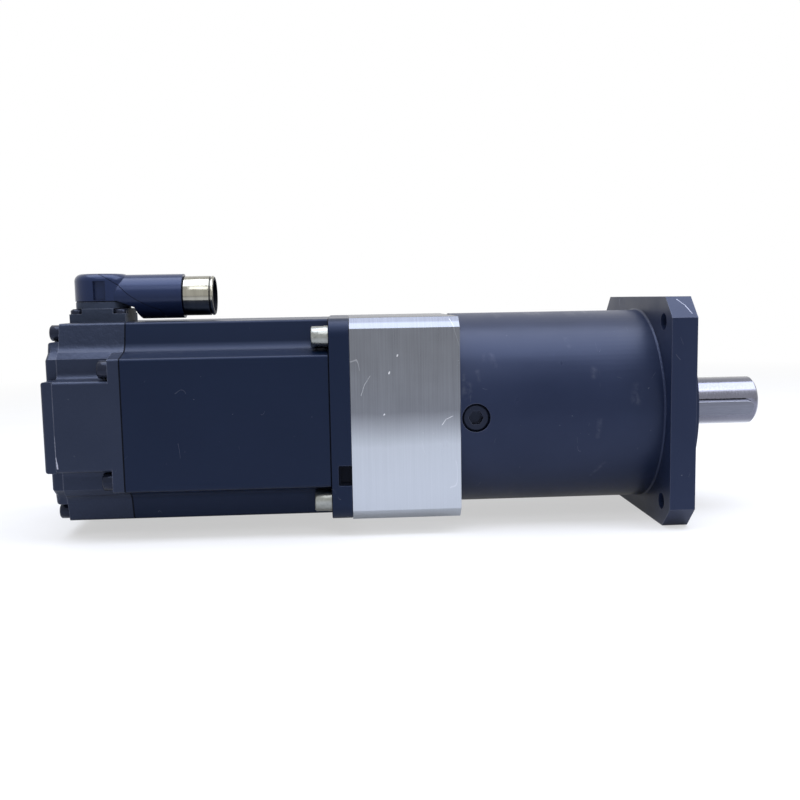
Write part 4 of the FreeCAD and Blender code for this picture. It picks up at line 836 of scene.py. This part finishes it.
def softWhite():
    material, tree, shader = blank("paleFloor")
    grain = spread(tree, noise(tree, scales["floor"], 3), 0, 1)
    tree.links.new(tint(tree, grain, (0.80, 0.80, 0.81), (0.84, 0.84, 0.85)),
                   shader.inputs["Base Color"])
    shader.inputs["Roughness"].default_value = 0.9
    path = tree.nodes.new("ShaderNodeLightPath")
    mirrored = calc(tree, "MAXIMUM", path.outputs["Is Glossy Ray"],
                    path.outputs["Is Transmission Ray"])
    seen = calc(tree, "MAXIMUM", path.outputs["Is Camera Ray"],
                calc(tree, "MULTIPLY", mirrored, stage["mirrored"]))
    away = vectorCalc(tree, "LENGTH", place(tree), (0, 0, 0)).outputs["Value"]
    share = spread(tree, away, stage["nearGlow"], 1, *stage["fade"])
    glow = addNode(tree, "ShaderNodeEmission", Strength=1)
    glow.inputs["Color"].default_value = (1, 1, 1, 1)
    mixed = tree.nodes.new("ShaderNodeMixShader")
    tree.links.new(calc(tree, "MULTIPLY", seen, share), mixed.inputs[0])
    tree.links.new(shader.outputs[0], mixed.inputs[1])
    tree.links.new(glow.outputs[0], mixed.inputs[2])
    tree.links.new(mixed.outputs[0], tree.nodes["Material Output"].inputs["Surface"])
    return material


def makeFloor():
    level = cadBox[0].z - stage["floorDrop"] * mm
    reach = stage["reach"]
    mesh = bpy.data.meshes.new("floor")
    mesh.from_pydata([(-reach, -reach, level), (reach, -reach, level), (reach, reach, level),
                      (-reach, reach, level)], [], [(0, 1, 2, 3)])
    floor = bpy.data.objects.new("floor", mesh)
    bpy.context.collection.objects.link(floor)
    mesh.materials.append(softWhite())
    floor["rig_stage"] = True


def makeWorld():
    world = bpy.data.worlds.new("studio")
    bpy.context.scene.world = world
    world.use_nodes = True
    tree = world.node_tree
    sky = tree.nodes["Background"]
    sky.inputs["Color"].default_value = (1, 1, 1, 1)
    path = tree.nodes.new("ShaderNodeLightPath")
    seen = calc(tree, "MAXIMUM", path.outputs["Is Camera Ray"],
                calc(tree, "MAXIMUM", path.outputs["Is Glossy Ray"],
                     path.outputs["Is Transmission Ray"]))
    strength = calc(tree, "ADD", calc(tree, "MULTIPLY", seen, 1 - stage["ambient"]),
                    stage["ambient"])
    tree.links.new(strength, sky.inputs["Strength"])


lamps = {  # name: place and aim in m, size in m, power in W, colour
    "overhead": ((0.05, -0.06, 0.72), (0.05, -0.06, 0), (1.5, 0.62), 14.5, (0.82, 0.87, 1.0)),
    "front": ((-0.25, -0.85, 0.95), (-0.12, 0, 0), (0.7, 0.4), 2.6, (0.93, 0.95, 1.0)),
    "side": ((0.8, -0.3, 0.6), (0.0, 0, 0), (0.4, 0.4), 2, (0.93, 0.95, 1.0)),
}


def makeLamps():
    for name, (spot, aim, size, power, colour) in lamps.items():
        light = bpy.data.lights.new(name, "AREA")
        light.shape = "RECTANGLE"
        light.size, light.size_y = size
        light.energy = power
        light.color = colour
        lamp = bpy.data.objects.new(name, light)
        lamp.location = spot
        lamp.rotation_euler = (Vector(aim) - Vector(spot)).to_track_quat("-Z", "Y").to_euler()
        bpy.context.collection.objects.link(lamp)
        lamp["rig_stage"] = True


# solved from the photo's edges: place and lens in mm, angles in degrees
view = dict(place=(-133.65, -387.71, 46.40), yaw=3.359, pitch=6.334, roll=-0.995, lens=41.53,
            sensor=36, clips=(0.01, 50))


def makeCamera():
    camera = bpy.data.cameras.new("camera")
    camera.lens = view["lens"]
    camera.sensor_width = view["sensor"]
    camera.clip_start, camera.clip_end = view["clips"]
    body = bpy.data.objects.new("camera", camera)
    turn = (Matrix.Rotation(math.radians(-view["yaw"]), 4, "Z")
            @ Matrix.Rotation(math.radians(90 - view["pitch"]), 4, "X")
            @ Matrix.Rotation(math.radians(view["roll"]), 4, "Z"))
    body.matrix_world = Matrix.Translation(Vector(view["place"]) * mm) @ turn
    bpy.context.collection.objects.link(body)
    bpy.context.scene.camera = body


makeFloor()
makeWorld()
makeLamps()
makeCamera()
bpy.context.scene.view_settings.view_transform = "Standard"
print("stage set")

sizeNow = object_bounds()
sizes = {"cad": cadBox, "visual": sizeNow}
